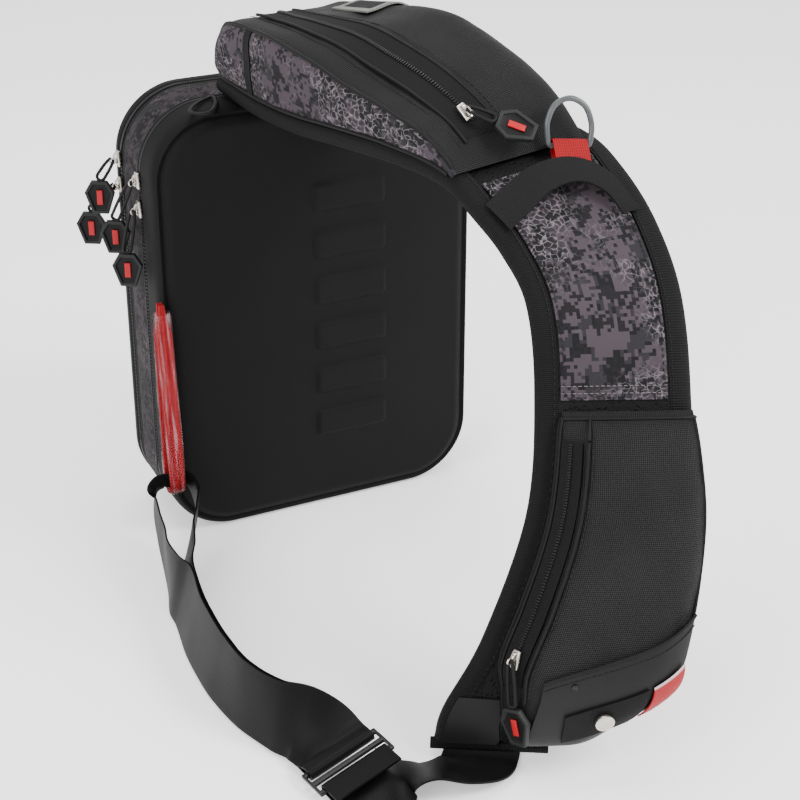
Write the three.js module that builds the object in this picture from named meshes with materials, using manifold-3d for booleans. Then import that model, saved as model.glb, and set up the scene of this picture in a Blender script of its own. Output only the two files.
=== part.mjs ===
import * as THREE from "three";
import { mergeVertices } from "three/addons/utils/BufferGeometryUtils.js";
import Module from "manifold-3d";

// A sling bag for fishing tackle: a zipped upright body whose moulded back panel faces the wearer,
// and one wide padded strap with two pouches that arches from the body's top down to the floor.
// The origin is the middle of the body's flat base, X runs across the back panel, the wearer is at -Y.

// Clearances and cloth
const GAP = 0.3;
const CLOTH_WALL = 2;
const SKIN = 1;

// Body
const BODY_WIDTH = 260;
const BODY_HEIGHT = 344;
const CORNER_RADIUS = 52;
const CORNER_STEPS = 5;
const BACK_WALL_DEPTH = 27;
const BACK_ZIP_WIDTH = 7;
const GUSSET_WIDTH = 33;
const FRONT_ZIP_WIDTH = 14;
const FRONT_WALL_DEPTH = 5;
const FRONT_BULGE = 8;
const MOULD_WALL = 3;
const GROOVE_INSET = 5;
const GROOVE_DEPTH = 3;
const FACE_RISE = 7;

// Raised ribs on the back panel
const RIB_COUNT = 6;
const RIB_LENGTH = 64;
const RIB_HEIGHT = 26;
const RIB_PITCH = 38;
const RIB_PROUD = 1.6;
const RIB_SIDE = 22;

// Strap
const STRAP_WIDTH = 117;
const STRAP_REACH = 360;
const STRAP_SWAY = 66;
const STRAP_RISE = 10;
const PAD_THICKNESS = 11;
const BINDING_FACE = 13;
const BINDING_THICKNESS = 1.3;

// Pouches on the strap
const SHOULDER_HEIGHT = 64;
const LOWER_RISE = 28;
const PANEL_THICKNESS = 2;
const BAND_THICKNESS = 1.8;
const BAND_LIFT = 10.4;

// Webbing and its hardware
const WEBBING_WIDTH = 50;
const WEBBING_THICKNESS = 1.8;
const WEBBING_BOW = 100;
const EYE_WEBBING = 12;
const BAR_THICKNESS = 3;
const BAR_WIDTH = 4;
const SLIDER_LENGTH = 58;
const SLIDER_SPAN = 24;

// Red loop in its clear sleeve, hung from the groove
const LOOP_TOP = 0.57;
const LOOP_LENGTH = 146;
const LOOP_SPREAD = 14;
const SLEEVE_WIDTH = 14;
const SLEEVE_THICKNESS = 4.4;
const SLEEVE_WALL = 0.8;
const RED_STRIP_THICKNESS = 1.8;

// Flat loop puller at the back zip's corner
const PULLER_LENGTH = 40;
const PULLER_WIDTH = 16;
const PULLER_WIRE = 3.4;
const PULLER_BESIDE = 18.6;

// D-ring
const RING_WIDTH = 29;
const RING_HEIGHT = 30;
const RING_WIRE = 3.6;
const TAB_WIDTH = 23;
const TAB_THICKNESS = 1.4;

// Zip pulls
const TAG_ACROSS = 23;
const TAG_THICKNESS = 4;
const TAG_RIM = 2.4;
const PULL_CORD = 2.4;
const ZIP_SLIDER_LENGTH = 12;
const ZIP_SLIDER_WIDTH = 9;
const ZIP_SLIDER_HEIGHT = 3.4;
const CORD_SEAT = 1.3;

// Snap and label
const SNAP_DIAMETER = 12.5;

const wasm = await Module();
wasm.setup();

const bag = new THREE.Group();

const FINISHES = {
  moulded: { color: 0x17171a, roughness: 0.85, metalness: 0 },
  pattern: { color: 0x6a6269, roughness: 0.9, metalness: 0 },
  ballistic: { color: 0x202022, roughness: 0.75, metalness: 0 },
  smooth: { color: 0x333336, roughness: 0.5, metalness: 0 },
  binding: { color: 0x141416, roughness: 0.9, metalness: 0 },
  webbing: { color: 0x101012, roughness: 0.8, metalness: 0 },
  zip: { color: 0x121214, roughness: 0.7, metalness: 0 },
  red: { color: 0xd01836, roughness: 0.6, metalness: 0 },
  clear: { color: 0xf2dfe2, roughness: 0.1, metalness: 0 },
  rubber: { color: 0x26282a, roughness: 0.55, metalness: 0 },
  nickel: { color: 0xb9b4ac, roughness: 0.25, metalness: 1 },
  grey: { color: 0x8c8f92, roughness: 0.4, metalness: 1 },
};

function add(name, geometry, finish, parent = bag) {
  const mesh = new THREE.Mesh(geometry, new THREE.MeshStandardMaterial(FINISHES[finish]));
  mesh.name = name;
  parent.add(mesh);
  return mesh;
}

// Shape tools

const V = (x, y, z) => new THREE.Vector3(x, y, z);

const steps = (from, to, count) =>
  Array.from({ length: count + 1 }, (_, i) => from + ((to - from) * i) / count);

// A closed surface from points and triangles, turned so that its faces point out.
function closedSurface(points, triangles) {
  const at = (i) => points[i];
  let volume = 0;
  for (const [a, b, c] of triangles) {
    volume += at(a).dot(at(b).clone().cross(at(c)));
  }
  const index = triangles.flatMap(([a, b, c]) => (volume > 0 ? [a, b, c] : [a, c, b]));
  const geometry = new THREE.BufferGeometry().setFromPoints(points);
  geometry.setIndex(index);
  geometry.computeVertexNormals();
  return geometry;
}

// A skin through rings of equal counts: closed into a loop, or capped at both ends.
function loft(rings, looped = false) {
  const n = rings[0].length;
  const points = rings.flat();
  const triangles = [];
  const spans = looped ? rings.length : rings.length - 1;
  for (let i = 0; i < spans; i++) {
    const next = ((i + 1) % rings.length) * n;
    for (let j = 0; j < n; j++) {
      const k = (j + 1) % n;
      triangles.push([i * n + j, i * n + k, next + k]);
      triangles.push([i * n + j, next + k, next + j]);
    }
  }
  if (!looped) {
    for (const end of [0, rings.length - 1]) {
      const centre = rings[end].reduce((s, p) => s.add(p), V(0, 0, 0)).divideScalar(n);
      const c = points.push(centre) - 1;
      for (let j = 0; j < n; j++) {
        const k = (j + 1) % n;
        triangles.push(end ? [c, end * n + j, end * n + k] : [c, k, j]);
      }
    }
  }
  return closedSurface(points, triangles);
}

// A sheet between two surfaces over the same grid of two parameters.
function sheet(outer, inner, along, across) {
  const rows = along.length;
  const columns = across.length;
  const grid = (f) => along.flatMap((a) => across.map((w) => f(a, w)));
  const points = [...grid(outer), ...grid(inner)];
  const o = (i, j) => i * columns + j;
  const n = (i, j) => rows * columns + o(i, j);
  const triangles = [];
  const quad = (a, b, c, d) => triangles.push([a, b, c], [a, c, d]);
  for (let i = 0; i + 1 < rows; i++) {
    for (let j = 0; j + 1 < columns; j++) {
      quad(o(i, j), o(i + 1, j), o(i + 1, j + 1), o(i, j + 1));
      quad(n(i, j), n(i, j + 1), n(i + 1, j + 1), n(i + 1, j));
    }
  }
  for (let i = 0; i + 1 < rows; i++) {
    quad(o(i, 0), n(i, 0), n(i + 1, 0), o(i + 1, 0));
    quad(o(i, columns - 1), o(i + 1, columns - 1), n(i + 1, columns - 1), n(i, columns - 1));
  }
  for (let j = 0; j + 1 < columns; j++) {
    quad(o(0, j), o(0, j + 1), n(0, j + 1), n(0, j));
    quad(o(rows - 1, j), n(rows - 1, j), n(rows - 1, j + 1), o(rows - 1, j + 1));
  }
  return closedSurface(points, triangles);
}

function solidOf(geometry) {
  const plain = geometry.clone();
  plain.deleteAttribute("normal");
  plain.deleteAttribute("uv");
  const merged = mergeVertices(plain, 1e-4);
  return new wasm.Manifold(
    new wasm.Mesh({
      numProp: 3,
      vertProperties: merged.attributes.position.array,
      triVerts: new Uint32Array(merged.index.array),
    }),
  );
}

function geometryOf(solid) {
  const made = solid.getMesh();
  const points = [];
  for (let i = 0; i < made.numVert; i++) {
    points.push(V(...made.vertProperties.slice(i * made.numProp, i * made.numProp + 3)));
  }
  const geometry = new THREE.BufferGeometry().setFromPoints(points);
  geometry.setIndex(Array.from(made.triVerts));
  geometry.computeVertexNormals();
  return geometry;
}

const cut = (geometry, tool) => geometryOf(solidOf(geometry).subtract(solidOf(tool)));

// A table whose rows stand at their own places along one value, read smoothly between them.
function track(rows) {
  const keys = Object.keys(rows[0]).filter((k) => k !== "at");
  const slope = (i, k) => {
    const a = rows[Math.max(i - 1, 0)];
    const b = rows[Math.min(i + 1, rows.length - 1)];
    return (b[k] - a[k]) / (b.at - a.at);
  };
  return (at) => {
    let i = rows.findIndex((r) => r.at > at) - 1;
    if (i < 0) i = at < rows[0].at ? 0 : rows.length - 2;
    const span = rows[i + 1].at - rows[i].at;
    const t = Math.min(Math.max((at - rows[i].at) / span, 0), 1);
    const out = {};
    for (const k of keys) {
      const m0 = slope(i, k) * span;
      const m1 = slope(i + 1, k) * span;
      const [p0, p1] = [rows[i][k], rows[i + 1][k]];
      out[k] =
        (2 * t ** 3 - 3 * t ** 2 + 1) * p0 +
        (t ** 3 - 2 * t ** 2 + t) * m0 +
        (3 * t ** 2 - 2 * t ** 3) * p1 +
        (t ** 3 - t ** 2) * m1;
    }
    return out;
  };
}

// A smooth open line through points in a plane, read at a share of its length of points.
function lineThrough(points, share) {
  const x = share * (points.length - 1);
  const i = Math.min(Math.floor(x), points.length - 2);
  const t = x - i;
  const p = (k) => points[Math.min(Math.max(k, 0), points.length - 1)];
  const mix = (c) => {
    const [a, b, d, e] = [p(i - 1)[c], p(i)[c], p(i + 1)[c], p(i + 2)[c]];
    return b + 0.5 * t * (d - a + t * (2 * a - 5 * b + 4 * d - e + t * (3 * (b - d) + e - a)));
  };
  return [mix(0), mix(1)];
}

const degrees = THREE.MathUtils.degToRad;

// Body: rounded rings stacked from the wearer's side to the front

const BODY_DEPTH =
  BACK_WALL_DEPTH + BACK_ZIP_WIDTH + GUSSET_WIDTH + FRONT_ZIP_WIDTH + FRONT_WALL_DEPTH;
const BACK_Y = -BODY_DEPTH / 2;
const BACK_ZIP_Y = BACK_Y + BACK_WALL_DEPTH;
const GUSSET_Y = BACK_ZIP_Y + BACK_ZIP_WIDTH;
const FRONT_ZIP_Y = GUSSET_Y + GUSSET_WIDTH;
const FRONT_Y = FRONT_ZIP_Y + FRONT_ZIP_WIDTH;
const FRONT_EDGE_Y = FRONT_Y + FRONT_WALL_DEPTH;

// A rounded upright rectangle at one depth, drawn in from the body's outline.
function bodyRing(inset, y) {
  const radius = Math.max(CORNER_RADIUS - inset, SKIN);
  const side = BODY_WIDTH / 2 - inset - radius;
  const low = inset + radius;
  const high = BODY_HEIGHT - inset - radius;
  const corners = [
    [side, high, 0],
    [-side, high, 90],
    [-side, low, 180],
    [side, low, 270],
  ];
  return corners.flatMap(([x, z, start]) =>
    steps(start, start + 90, CORNER_STEPS).map((angle) => {
      const a = degrees(angle);
      return V(x + radius * Math.cos(a), y, z + radius * Math.sin(a));
    }),
  );
}

const bodyBand = (profile) => loft(profile.map(([inset, y]) => bodyRing(inset, y)), true);

function backPanel() {
  const reach = BODY_WIDTH / 2;
  const face = BACK_Y - FACE_RISE;
  const outer = [
    [0, BACK_ZIP_Y - GAP],
    [0, BACK_Y + 7],
    [1.4, BACK_Y + 2.6],
    [GROOVE_INSET - 1.4, BACK_Y],
    [GROOVE_INSET + 0.6, BACK_Y + GROOVE_DEPTH],
    [GROOVE_INSET + 3, BACK_Y],
    [GROOVE_INSET + 8, BACK_Y - 0.45 * FACE_RISE],
    [0.16 * reach, BACK_Y - 0.72 * FACE_RISE],
    [0.34 * reach, BACK_Y - 0.92 * FACE_RISE],
    [0.56 * reach, face],
  ];
  const inner = outer
    .slice(3)
    .filter((_, i) => i !== 1)
    .map(([inset, y]) => [Math.max(inset, MOULD_WALL), y + MOULD_WALL + GROOVE_DEPTH])
    .reverse();
  const profile = [...inner, [MOULD_WALL, BACK_ZIP_Y - GAP], ...outer];
  let shell = solidOf(loft(profile.map(([inset, y]) => bodyRing(inset, y))));
  const rib = new THREE.Shape();
  const [l, h, r] = [RIB_LENGTH / 2, RIB_HEIGHT / 2, RIB_HEIGHT / 4];
  rib.moveTo(-l + r, -h);
  rib.lineTo(l - r, -h);
  rib.quadraticCurveTo(l, -h, l, -h + r);
  rib.lineTo(l, h - r);
  rib.quadraticCurveTo(l, h, l - r, h);
  rib.lineTo(-l + r, h);
  rib.quadraticCurveTo(-l, h, -l, h - r);
  rib.lineTo(-l, -h + r);
  rib.quadraticCurveTo(-l, -h, -l + r, -h);
  for (let i = 0; i < RIB_COUNT; i++) {
    const bar = new THREE.ExtrudeGeometry(rib, {
      depth: MOULD_WALL,
      bevelSize: RIB_PROUD,
      bevelThickness: RIB_PROUD,
      bevelSegments: 1,
      curveSegments: 3,
    });
    bar.rotateX(Math.PI / 2);
    bar.translate(RIB_SIDE, face + MOULD_WALL, BODY_HEIGHT / 2 + (i - (RIB_COUNT - 1) / 2) * RIB_PITCH);
    shell = shell.add(solidOf(bar));
  }
  return geometryOf(shell);
}

function frontPanel() {
  const reach = BODY_WIDTH / 2;
  const face = FRONT_EDGE_Y + FRONT_BULGE;
  const outer = [
    [0, FRONT_Y + GAP],
    [0, FRONT_EDGE_Y - 3],
    [2, FRONT_EDGE_Y],
    [10, FRONT_EDGE_Y + 0.45 * FRONT_BULGE],
    [0.22 * reach, FRONT_EDGE_Y + 0.8 * FRONT_BULGE],
    [0.5 * reach, face],
  ];
  const inner = outer
    .slice(2)
    .map(([inset, y]) => [Math.max(inset, CLOTH_WALL), y - CLOTH_WALL])
    .reverse();
  const profile = [...inner, [CLOTH_WALL, FRONT_Y + GAP], ...outer];
  return loft(profile.map(([inset, y]) => bodyRing(inset, y)));
}

// A flat band round the body with a raised coil along its middle.
function zipBand(y, width) {
  const middle = y + width / 2;
  return bodyBand([
    [SKIN, y],
    [SKIN, middle - 2.2],
    [0, middle - 1.6],
    [0, middle + 1.6],
    [SKIN, middle + 2.2],
    [SKIN, y + width - GAP],
    [SKIN + CLOTH_WALL, y + width - GAP],
    [SKIN + CLOTH_WALL, y],
  ]);
}

add("back_panel", backPanel(), "moulded");
add("back_zip_tape", zipBand(BACK_ZIP_Y, BACK_ZIP_WIDTH), "zip");
add(
  "side_gusset",
  bodyBand([
    [0, GUSSET_Y],
    [0, FRONT_ZIP_Y - GAP],
    [CLOTH_WALL, FRONT_ZIP_Y - GAP],
    [CLOTH_WALL, GUSSET_Y],
  ]),
  "pattern",
);
add("front_zip_tape", zipBand(FRONT_ZIP_Y, FRONT_ZIP_WIDTH), "zip");
add("front_panel", frontPanel(), "ballistic");

// Strap: its middle line, from the body's top over the arch and down to the floor.
// reach is a share of STRAP_REACH toward the wearer, sway of STRAP_SWAY to the side,
// stand of the root's height, rise of STRAP_RISE, wide of STRAP_WIDTH; yaw and bank are degrees.
const STRAP = [
  { reach: -0.094, sway: -0.14, stand: 1, rise: 0, wide: 0.96, yaw: 0, bank: 0 },
  { reach: 0, sway: -0.12, stand: 1, rise: 0.02, wide: 0.975, yaw: 0, bank: 0 },
  { reach: 0.111, sway: -0.09, stand: 1, rise: 0.1, wide: 0.99, yaw: 0, bank: 0 },
  { reach: 0.236, sway: 0.03, stand: 1, rise: 0.4, wide: 1, yaw: 0, bank: 2 },
  { reach: 0.361, sway: 0.21, stand: 1, rise: 0.78, wide: 1, yaw: 0, bank: 3 },
  { reach: 0.494, sway: 0.45, stand: 1, rise: 0.98, wide: 1, yaw: 1, bank: 4 },
  { reach: 0.6, sway: 0.71, stand: 1, rise: 0.36, wide: 0.975, yaw: 2, bank: 5 },
  { reach: 0.683, sway: 0.83, stand: 0.968, rise: 0, wide: 0.925, yaw: -2, bank: 9 },
  { reach: 0.756, sway: 0.95, stand: 0.902, rise: 0, wide: 0.89, yaw: -11, bank: 6 },
  { reach: 0.82, sway: 1.04, stand: 0.802, rise: 0, wide: 0.86, yaw: -19, bank: 1 },
  { reach: 0.878, sway: 0.99, stand: 0.645, rise: 0, wide: 0.86, yaw: -24, bank: 0 },
  { reach: 0.947, sway: 0.77, stand: 0.4425, rise: 0, wide: 0.9, yaw: -26, bank: 1 },
  { reach: 0.989, sway: 0.2, stand: 0.217, rise: 0, wide: 0.905, yaw: -28, bank: -4 },
  { reach: 0.984, sway: -0.33, stand: 0.0914, rise: 0, wide: 0.79, yaw: -29, bank: -2 },
  { reach: 0.978, sway: -0.54, stand: 0.034, rise: 0, wide: 0.66, yaw: -30, bank: 0 },
].map((row, at) => ({ at, ...row }));
const STRAP_END = STRAP.length - 1;
const STRAP_GRID = 0.5;
const ROOT_Z = BODY_HEIGHT + PAD_THICKNESS / 2 + BINDING_THICKNESS + 2 * GAP;
const PAD_HALF = PAD_THICKNESS / 2;
const strapRow = track(STRAP);

function strapMiddle(at) {
  const row = strapRow(at);
  return V(
    row.sway * STRAP_SWAY,
    BACK_Y - row.reach * STRAP_REACH,
    row.stand * ROOT_Z + row.rise * STRAP_RISE,
  );
}

// The strap's frame at a place: its middle, its directions along, across and out, half its width.
function strapAt(at) {
  const row = strapRow(at);
  const step = 0.02;
  const along = strapMiddle(Math.min(at + step, STRAP_END))
    .sub(strapMiddle(Math.max(at - step, 0)))
    .normalize();
  const [yaw, bank] = [degrees(row.yaw), degrees(row.bank)];
  const across = V(Math.cos(yaw) * Math.cos(bank), Math.sin(yaw) * Math.cos(bank), Math.sin(bank));
  const out = along.clone().cross(across).normalize();
  return { middle: strapMiddle(at), along, across, out, half: (row.wide * STRAP_WIDTH) / 2 };
}

// A point beside the strap: straight runs between the places of its grid.
function onStrap(at, u, v) {
  const low = Math.min(Math.floor(at / STRAP_GRID) * STRAP_GRID, STRAP_END - STRAP_GRID);
  const [a, b] = [low, low + STRAP_GRID].map((place) => {
    const s = strapAt(place);
    return s.middle.addScaledVector(s.across, u).addScaledVector(s.out, v);
  });
  return a.lerp(b, (at - low) / STRAP_GRID);
}

// Places of the strap's grid between two ends, with both ends.
const places = (from, to) => [
  from,
  ...steps(0, STRAP_END, STRAP_END / STRAP_GRID).filter((at) => at > from + 0.05 && at < to - 0.05),
  to,
];

const PAD_EDGE = BINDING_THICKNESS + GAP;
const padCentre = (at) => strapAt(at).half - PAD_EDGE - PAD_HALF;

function padRing(at) {
  const side = padCentre(at);
  const inside = side - BINDING_FACE + PAD_HALF;
  return [-1, 1].flatMap((s) => [
    ...[-1, -1 / 3, 1 / 3, 1].map((share) => onStrap(at, -s * share * inside, s * PAD_HALF)),
    ...steps(90, 270, 4).map((angle) => {
      const a = degrees(angle);
      return onStrap(at, s * (-side + PAD_HALF * Math.cos(a)), s * PAD_HALF * Math.sin(a));
    }),
  ]);
}

// A binding folded round one edge of the pad.
function bindingEdge(side) {
  const surface = (radius) => (at, share) => {
    const face = BINDING_FACE - PAD_HALF;
    const angle = degrees(share);
    const flat = share < 90 || share > 270;
    const u = padCentre(at) + (flat ? -face : -Math.cos(angle) * radius);
    const v = flat ? Math.sign(180 - share) * radius : Math.sin(angle) * radius;
    return onStrap(at, side * u, v);
  };
  return sheet(
    surface(PAD_HALF + GAP + BINDING_THICKNESS),
    surface(PAD_HALF + GAP),
    places(0, STRAP_END),
    [0, 90, 135, 180, 225, 270, 360],
  );
}

add("strap_pad", loft(places(0, STRAP_END).map(padRing)), "binding");
add("strap_binding_inner", bindingEdge(-1), "binding");
add("strap_binding_outer", bindingEdge(1), "binding");

const POUCH_BASE = PAD_HALF + BINDING_THICKNESS + 2 * GAP;

// A point of a pouch's skin: its section read at a share, moved in or out from the section's heart.
function pouchPoint(at, section, share, rise, inset) {
  const half = strapAt(at).half;
  const [u, v] = lineThrough(section, share);
  const heart = 0.3 * rise;
  const across = 1 - inset / half;
  const up = 1 - Math.min(inset / (0.7 * rise), 0.5);
  return onStrap(at, u * across, POUCH_BASE + heart + (v - heart) * up);
}

// Shoulder pouch: left and crest are shares of SHOULDER_HEIGHT, the rest of the half width.
const SHOULDER = track([
  { at: 0, left: 0.04, crest: 0.07, bulge: -0.06, outer: -0.05 },
  { at: 0.2, left: 0.4, crest: 0.5, bulge: 0.08, outer: 0 },
  { at: 0.6, left: 0.64, crest: 0.72, bulge: 0.13, outer: 0 },
  { at: 1.1, left: 0.72, crest: 0.8, bulge: 0.1, outer: 0 },
  { at: 1.75, left: 0.74, crest: 0.86, bulge: 0.03, outer: 0.02 },
  { at: 2.6, left: 0.74, crest: 0.92, bulge: 0.02, outer: 0.06 },
  { at: 3.5, left: 0.64, crest: 0.96, bulge: 0.02, outer: 0.08 },
  { at: 4.3, left: 0.46, crest: 0.84, bulge: 0.02, outer: 0.02 },
  { at: 5, left: 0.34, crest: 0.62, bulge: 0.01, outer: -0.07 },
  { at: 5.5, left: 0.26, crest: 0.4, bulge: 0, outer: -0.14 },
  { at: 5.9, left: 0.13, crest: 0.19, bulge: 0, outer: -0.2 },
  { at: 6.2, left: 0.03, crest: 0.04, bulge: 0, outer: -0.24 },
]);
const SHOULDER_SEAM = 1.75;
const SHOULDER_TIP = 6.2;
const GUSSET_SHARE = 2 / 7;

const shoulder = (inset) => (at, share) => {
  const row = SHOULDER(at);
  const half = strapAt(at).half;
  const left = row.left * SHOULDER_HEIGHT;
  const crest = row.crest * SHOULDER_HEIGHT;
  const bulge = row.bulge * half;
  const outer = row.outer * half;
  const section = [
    [-half + 2, 0],
    [-half + 2 - bulge, 0.45 * left],
    [-half + 5 - 0.5 * bulge, left],
    [-0.35 * half, left + 0.55 * (crest - left)],
    [0.25 * half, 0.97 * crest],
    [0.65 * half + 0.5 * outer, crest],
    [half + outer, 0.6 * crest],
    [half - 2 + Math.min(outer, 0), 0],
  ];
  return pouchPoint(at, section, share, crest, inset);
};

const LIFT = 2 * GAP;
const shoulderSheet = (from, to, low, high, columns, outer = 0, inner = CLOTH_WALL) =>
  sheet(shoulder(outer), shoulder(inner), places(from, to), steps(low, high, columns));

add("shoulder_top", shoulderSheet(0, SHOULDER_TIP, GUSSET_SHARE + 0.004, 1, 10), "ballistic");
add("shoulder_gusset", shoulderSheet(SHOULDER_SEAM, SHOULDER_TIP, 0, GUSSET_SHARE, 4), "pattern");
add("shoulder_end", shoulderSheet(0, SHOULDER_SEAM - 0.02, 0, GUSSET_SHARE, 4), "pattern");
add("shoulder_zip_tape", shoulderSheet(1, 5.8, 0.37, 0.48, 2, -LIFT - SKIN, -LIFT), "zip");
add("shoulder_patch", shoulderSheet(1.5, 2.7, 0.56, 0.8, 4, -2 * LIFT - SKIN, -2 * LIFT), "grey");

// Patterned panel on the strap's face
const PANEL_FROM = 6.5;
const PANEL_TO = 10.05;
const onFace = (height) => (at, share) => {
  const room = strapAt(at).half - BINDING_FACE - 2 * PAD_EDGE;
  return onStrap(at, share * room, PAD_HALF + height);
};
add(
  "pattern_panel",
  sheet(
    onFace(GAP + PANEL_THICKNESS),
    onFace(GAP),
    places(PANEL_FROM, PANEL_TO),
    steps(-1, 1, 3),
  ),
  "pattern",
);

// Webbing band arched over the panel: the places and shares across of both its edges.
const BAND = track([
  { at: 0, low: 7.62, lowU: -0.8, high: 6.95, highU: -0.86, lift: 0 },
  { at: 1, low: 7.42, lowU: -0.5, high: 6.74, highU: -0.48, lift: 0.4 },
  { at: 2, low: 7.2, lowU: -0.12, high: 6.64, highU: -0.1, lift: 0.85 },
  { at: 3, low: 7.22, lowU: 0.24, high: 6.75, highU: 0.32, lift: 1 },
  { at: 4, low: 7.47, lowU: 0.48, high: 7.12, highU: 0.64, lift: 0.65 },
  { at: 5, low: 7.8, lowU: 0.58, high: 7.8, highU: 0.82, lift: 0.08 },
]);
const BAND_BASE = PAD_HALF + PANEL_THICKNESS + 3 * GAP;
const bandEdge = (height) => (s, w) => {
  const row = BAND(s);
  const at = row.low + (row.high - row.low) * w;
  const u = (row.lowU + (row.highU - row.lowU) * w) * strapAt(at).half;
  return onStrap(at, u, BAND_BASE + row.lift * BAND_LIFT + height);
};
add(
  "webbing_band",
  sheet(bandEdge(BAND_THICKNESS), bandEdge(0), steps(0, 5, 12), steps(0, 1, 1)),
  "webbing",
);

// Lower pouch: rise is a share of LOWER_RISE, left and over shares of the half width.
const LOWER_FROM = 10.15;
const LOWER_TO = 13.85;
const LOWER = track([
  { at: LOWER_FROM, rise: 0.12, left: -0.66, over: 0 },
  { at: 10.3, rise: 0.55, left: -0.7, over: 0.02 },
  { at: 10.7, rise: 0.8, left: -0.72, over: 0.08 },
  { at: 11.2, rise: 0.95, left: -0.72, over: 0.2 },
  { at: 11.7, rise: 1, left: -0.72, over: 0.34 },
  { at: 12.2, rise: 1, left: -0.68, over: 0.48 },
  { at: 12.6, rise: 0.92, left: -0.4, over: 0.48 },
  { at: 13, rise: 0.78, left: -0.16, over: 0.36 },
  { at: 13.5, rise: 0.5, left: 0, over: 0.24 },
  { at: LOWER_TO, rise: 0.14, left: 0.1, over: 0 },
]);

const lower = (inset) => (at, share) => {
  const row = LOWER(at);
  const rise = row.rise * LOWER_RISE;
  const half = strapAt(at).half;
  const left = row.left * half;
  const over = row.over * half;
  const right = half - PAD_EDGE;
  const section = [
    [left, 0],
    [left + 0.03 * half, 0.35 * rise],
    [left + 0.2 * (right - left), 0.92 * rise],
    [left + 0.36 * (right - left), 1.05 * rise],
    [left + 0.62 * (right - left) + 0.3 * over, rise],
    [left + 0.88 * (right - left) + 0.7 * over, 0.85 * rise],
    [right + over, 0.45 * rise],
    [right + 0.8 * over, 0.08 * rise],
    [right - 1, 0],
  ];
  return pouchPoint(at, section, share, rise, inset);
};

add(
  "lower_pouch",
  sheet(lower(0), lower(CLOTH_WALL), steps(LOWER_FROM, LOWER_TO, 12), steps(0, 1, 12)),
  "ballistic",
);
add(
  "lower_zip_tape",
  sheet(lower(-2 * LIFT - SKIN), lower(-2 * LIFT), steps(10.4, 12.4, 8), steps(0.14, 0.23, 2)),
  "zip",
);

// A piece laid on a surface between four corners, each a place and a share.
function patch(surface, corners, low, high, rows, columns) {
  const [[a0, s0], [a1, s1], [a2, s2], [a3, s3]] = corners;
  const mix = (p, q, r, s, i, j) => (p * (1 - j) + q * j) * (1 - i) + (r * (1 - j) + s * j) * i;
  const laid = (lift) => (i, j) => surface(-lift)(mix(a0, a1, a2, a3, i, j), mix(s0, s1, s2, s3, i, j));
  return sheet(laid(high), laid(low), steps(0, 1, rows), steps(0, 1, columns));
}

const SEAM = [
  [12.3, 0.36],
  [11.65, 0.72],
  [13.6, 0.36],
  [13.4, 0.72],
];
add("lower_panel", patch(lower, SEAM, 2 * LIFT, 2 * LIFT + SKIN, 5, 5), "smooth");
const SNAP_TAB = [
  [12.74, 0.46],
  [12.28, 0.62],
  [13.3, 0.52],
  [12.85, 0.7],
];
const TAB_LIFT = 3 * LIFT + 1.5 * SKIN;
add("snap_tab", patch(lower, SNAP_TAB, TAB_LIFT, TAB_LIFT + SKIN, 2, 4), "webbing");
const LABEL = [
  [12.26, 0.63],
  [12.02, 0.7],
  [12.74, 0.71],
  [12.5, 0.78],
];
add("red_label", patch(lower, LABEL, TAB_LIFT, TAB_LIFT + SKIN, 2, 2), "red");

// A round cap standing on a surface.
function cap(surface, at, share, lift, diameter, height) {
  const step = 0.05;
  const place = surface(-lift)(at, share);
  const along = surface(-lift)(at + step, share).sub(place);
  const across = surface(-lift)(at, share + step).sub(place);
  const out = along.cross(across).normalize();
  if (out.dot(strapAt(at).out) < 0) out.negate();
  const turn = new THREE.Quaternion().setFromUnitVectors(V(0, 1, 0), out);
  const dome = [
    [0, 0],
    [0.5, 0],
    [0.5, 0.4],
    [0.36, 0.9],
    [0, 1],
  ].map(([r, h]) => new THREE.Vector2(r * diameter, h * height));
  const made = new THREE.LatheGeometry(dome, 12).applyQuaternion(turn);
  return made.translate(place.x, place.y, place.z);
}

add("snap_cap", cap(lower, 12.76, 0.575, TAB_LIFT + SKIN + LIFT, SNAP_DIAMETER, 2.6), "nickel");

// A flat band through stations: each has a centre p, a direction across and a width.
function ribbon(stations, thickness, looped = false) {
  const n = stations.length;
  const rings = stations.map(({ p, across, width }, i) => {
    const next = stations[looped ? (i + 1) % n : Math.min(i + 1, n - 1)].p;
    const last = stations[looped ? (i + n - 1) % n : Math.max(i - 1, 0)].p;
    const tangent = next.clone().sub(last).normalize();
    const flat = across.clone().addScaledVector(tangent, -across.dot(tangent)).normalize();
    const normal = tangent.clone().cross(flat);
    return [
      [1, 1],
      [-1, 1],
      [-1, -1],
      [1, -1],
    ].map(([a, b]) =>
      p
        .clone()
        .addScaledVector(flat, (a * width) / 2)
        .addScaledVector(normal, (b * thickness) / 2),
    );
  });
  return loft(rings, looped);
}

// A closed hoop of round or oval wire through points that lie in one plane.
function hoop(points, normal, wide, thick, samples, sides = 6) {
  const path = new THREE.CatmullRomCurve3(points, true, "centripetal");
  const rings = steps(0, 1, samples)
    .slice(0, -1)
    .map((t) => {
      const across = path.getTangentAt(t).cross(normal).normalize();
      return steps(0, 360, sides)
        .slice(0, -1)
        .map((angle) => {
          const a = degrees(angle);
          return path
            .getPointAt(t)
            .addScaledVector(across, (wide / 2) * Math.cos(a))
            .addScaledVector(normal, (thick / 2) * Math.sin(a));
        });
    });
  return loft(rings, true);
}

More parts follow.
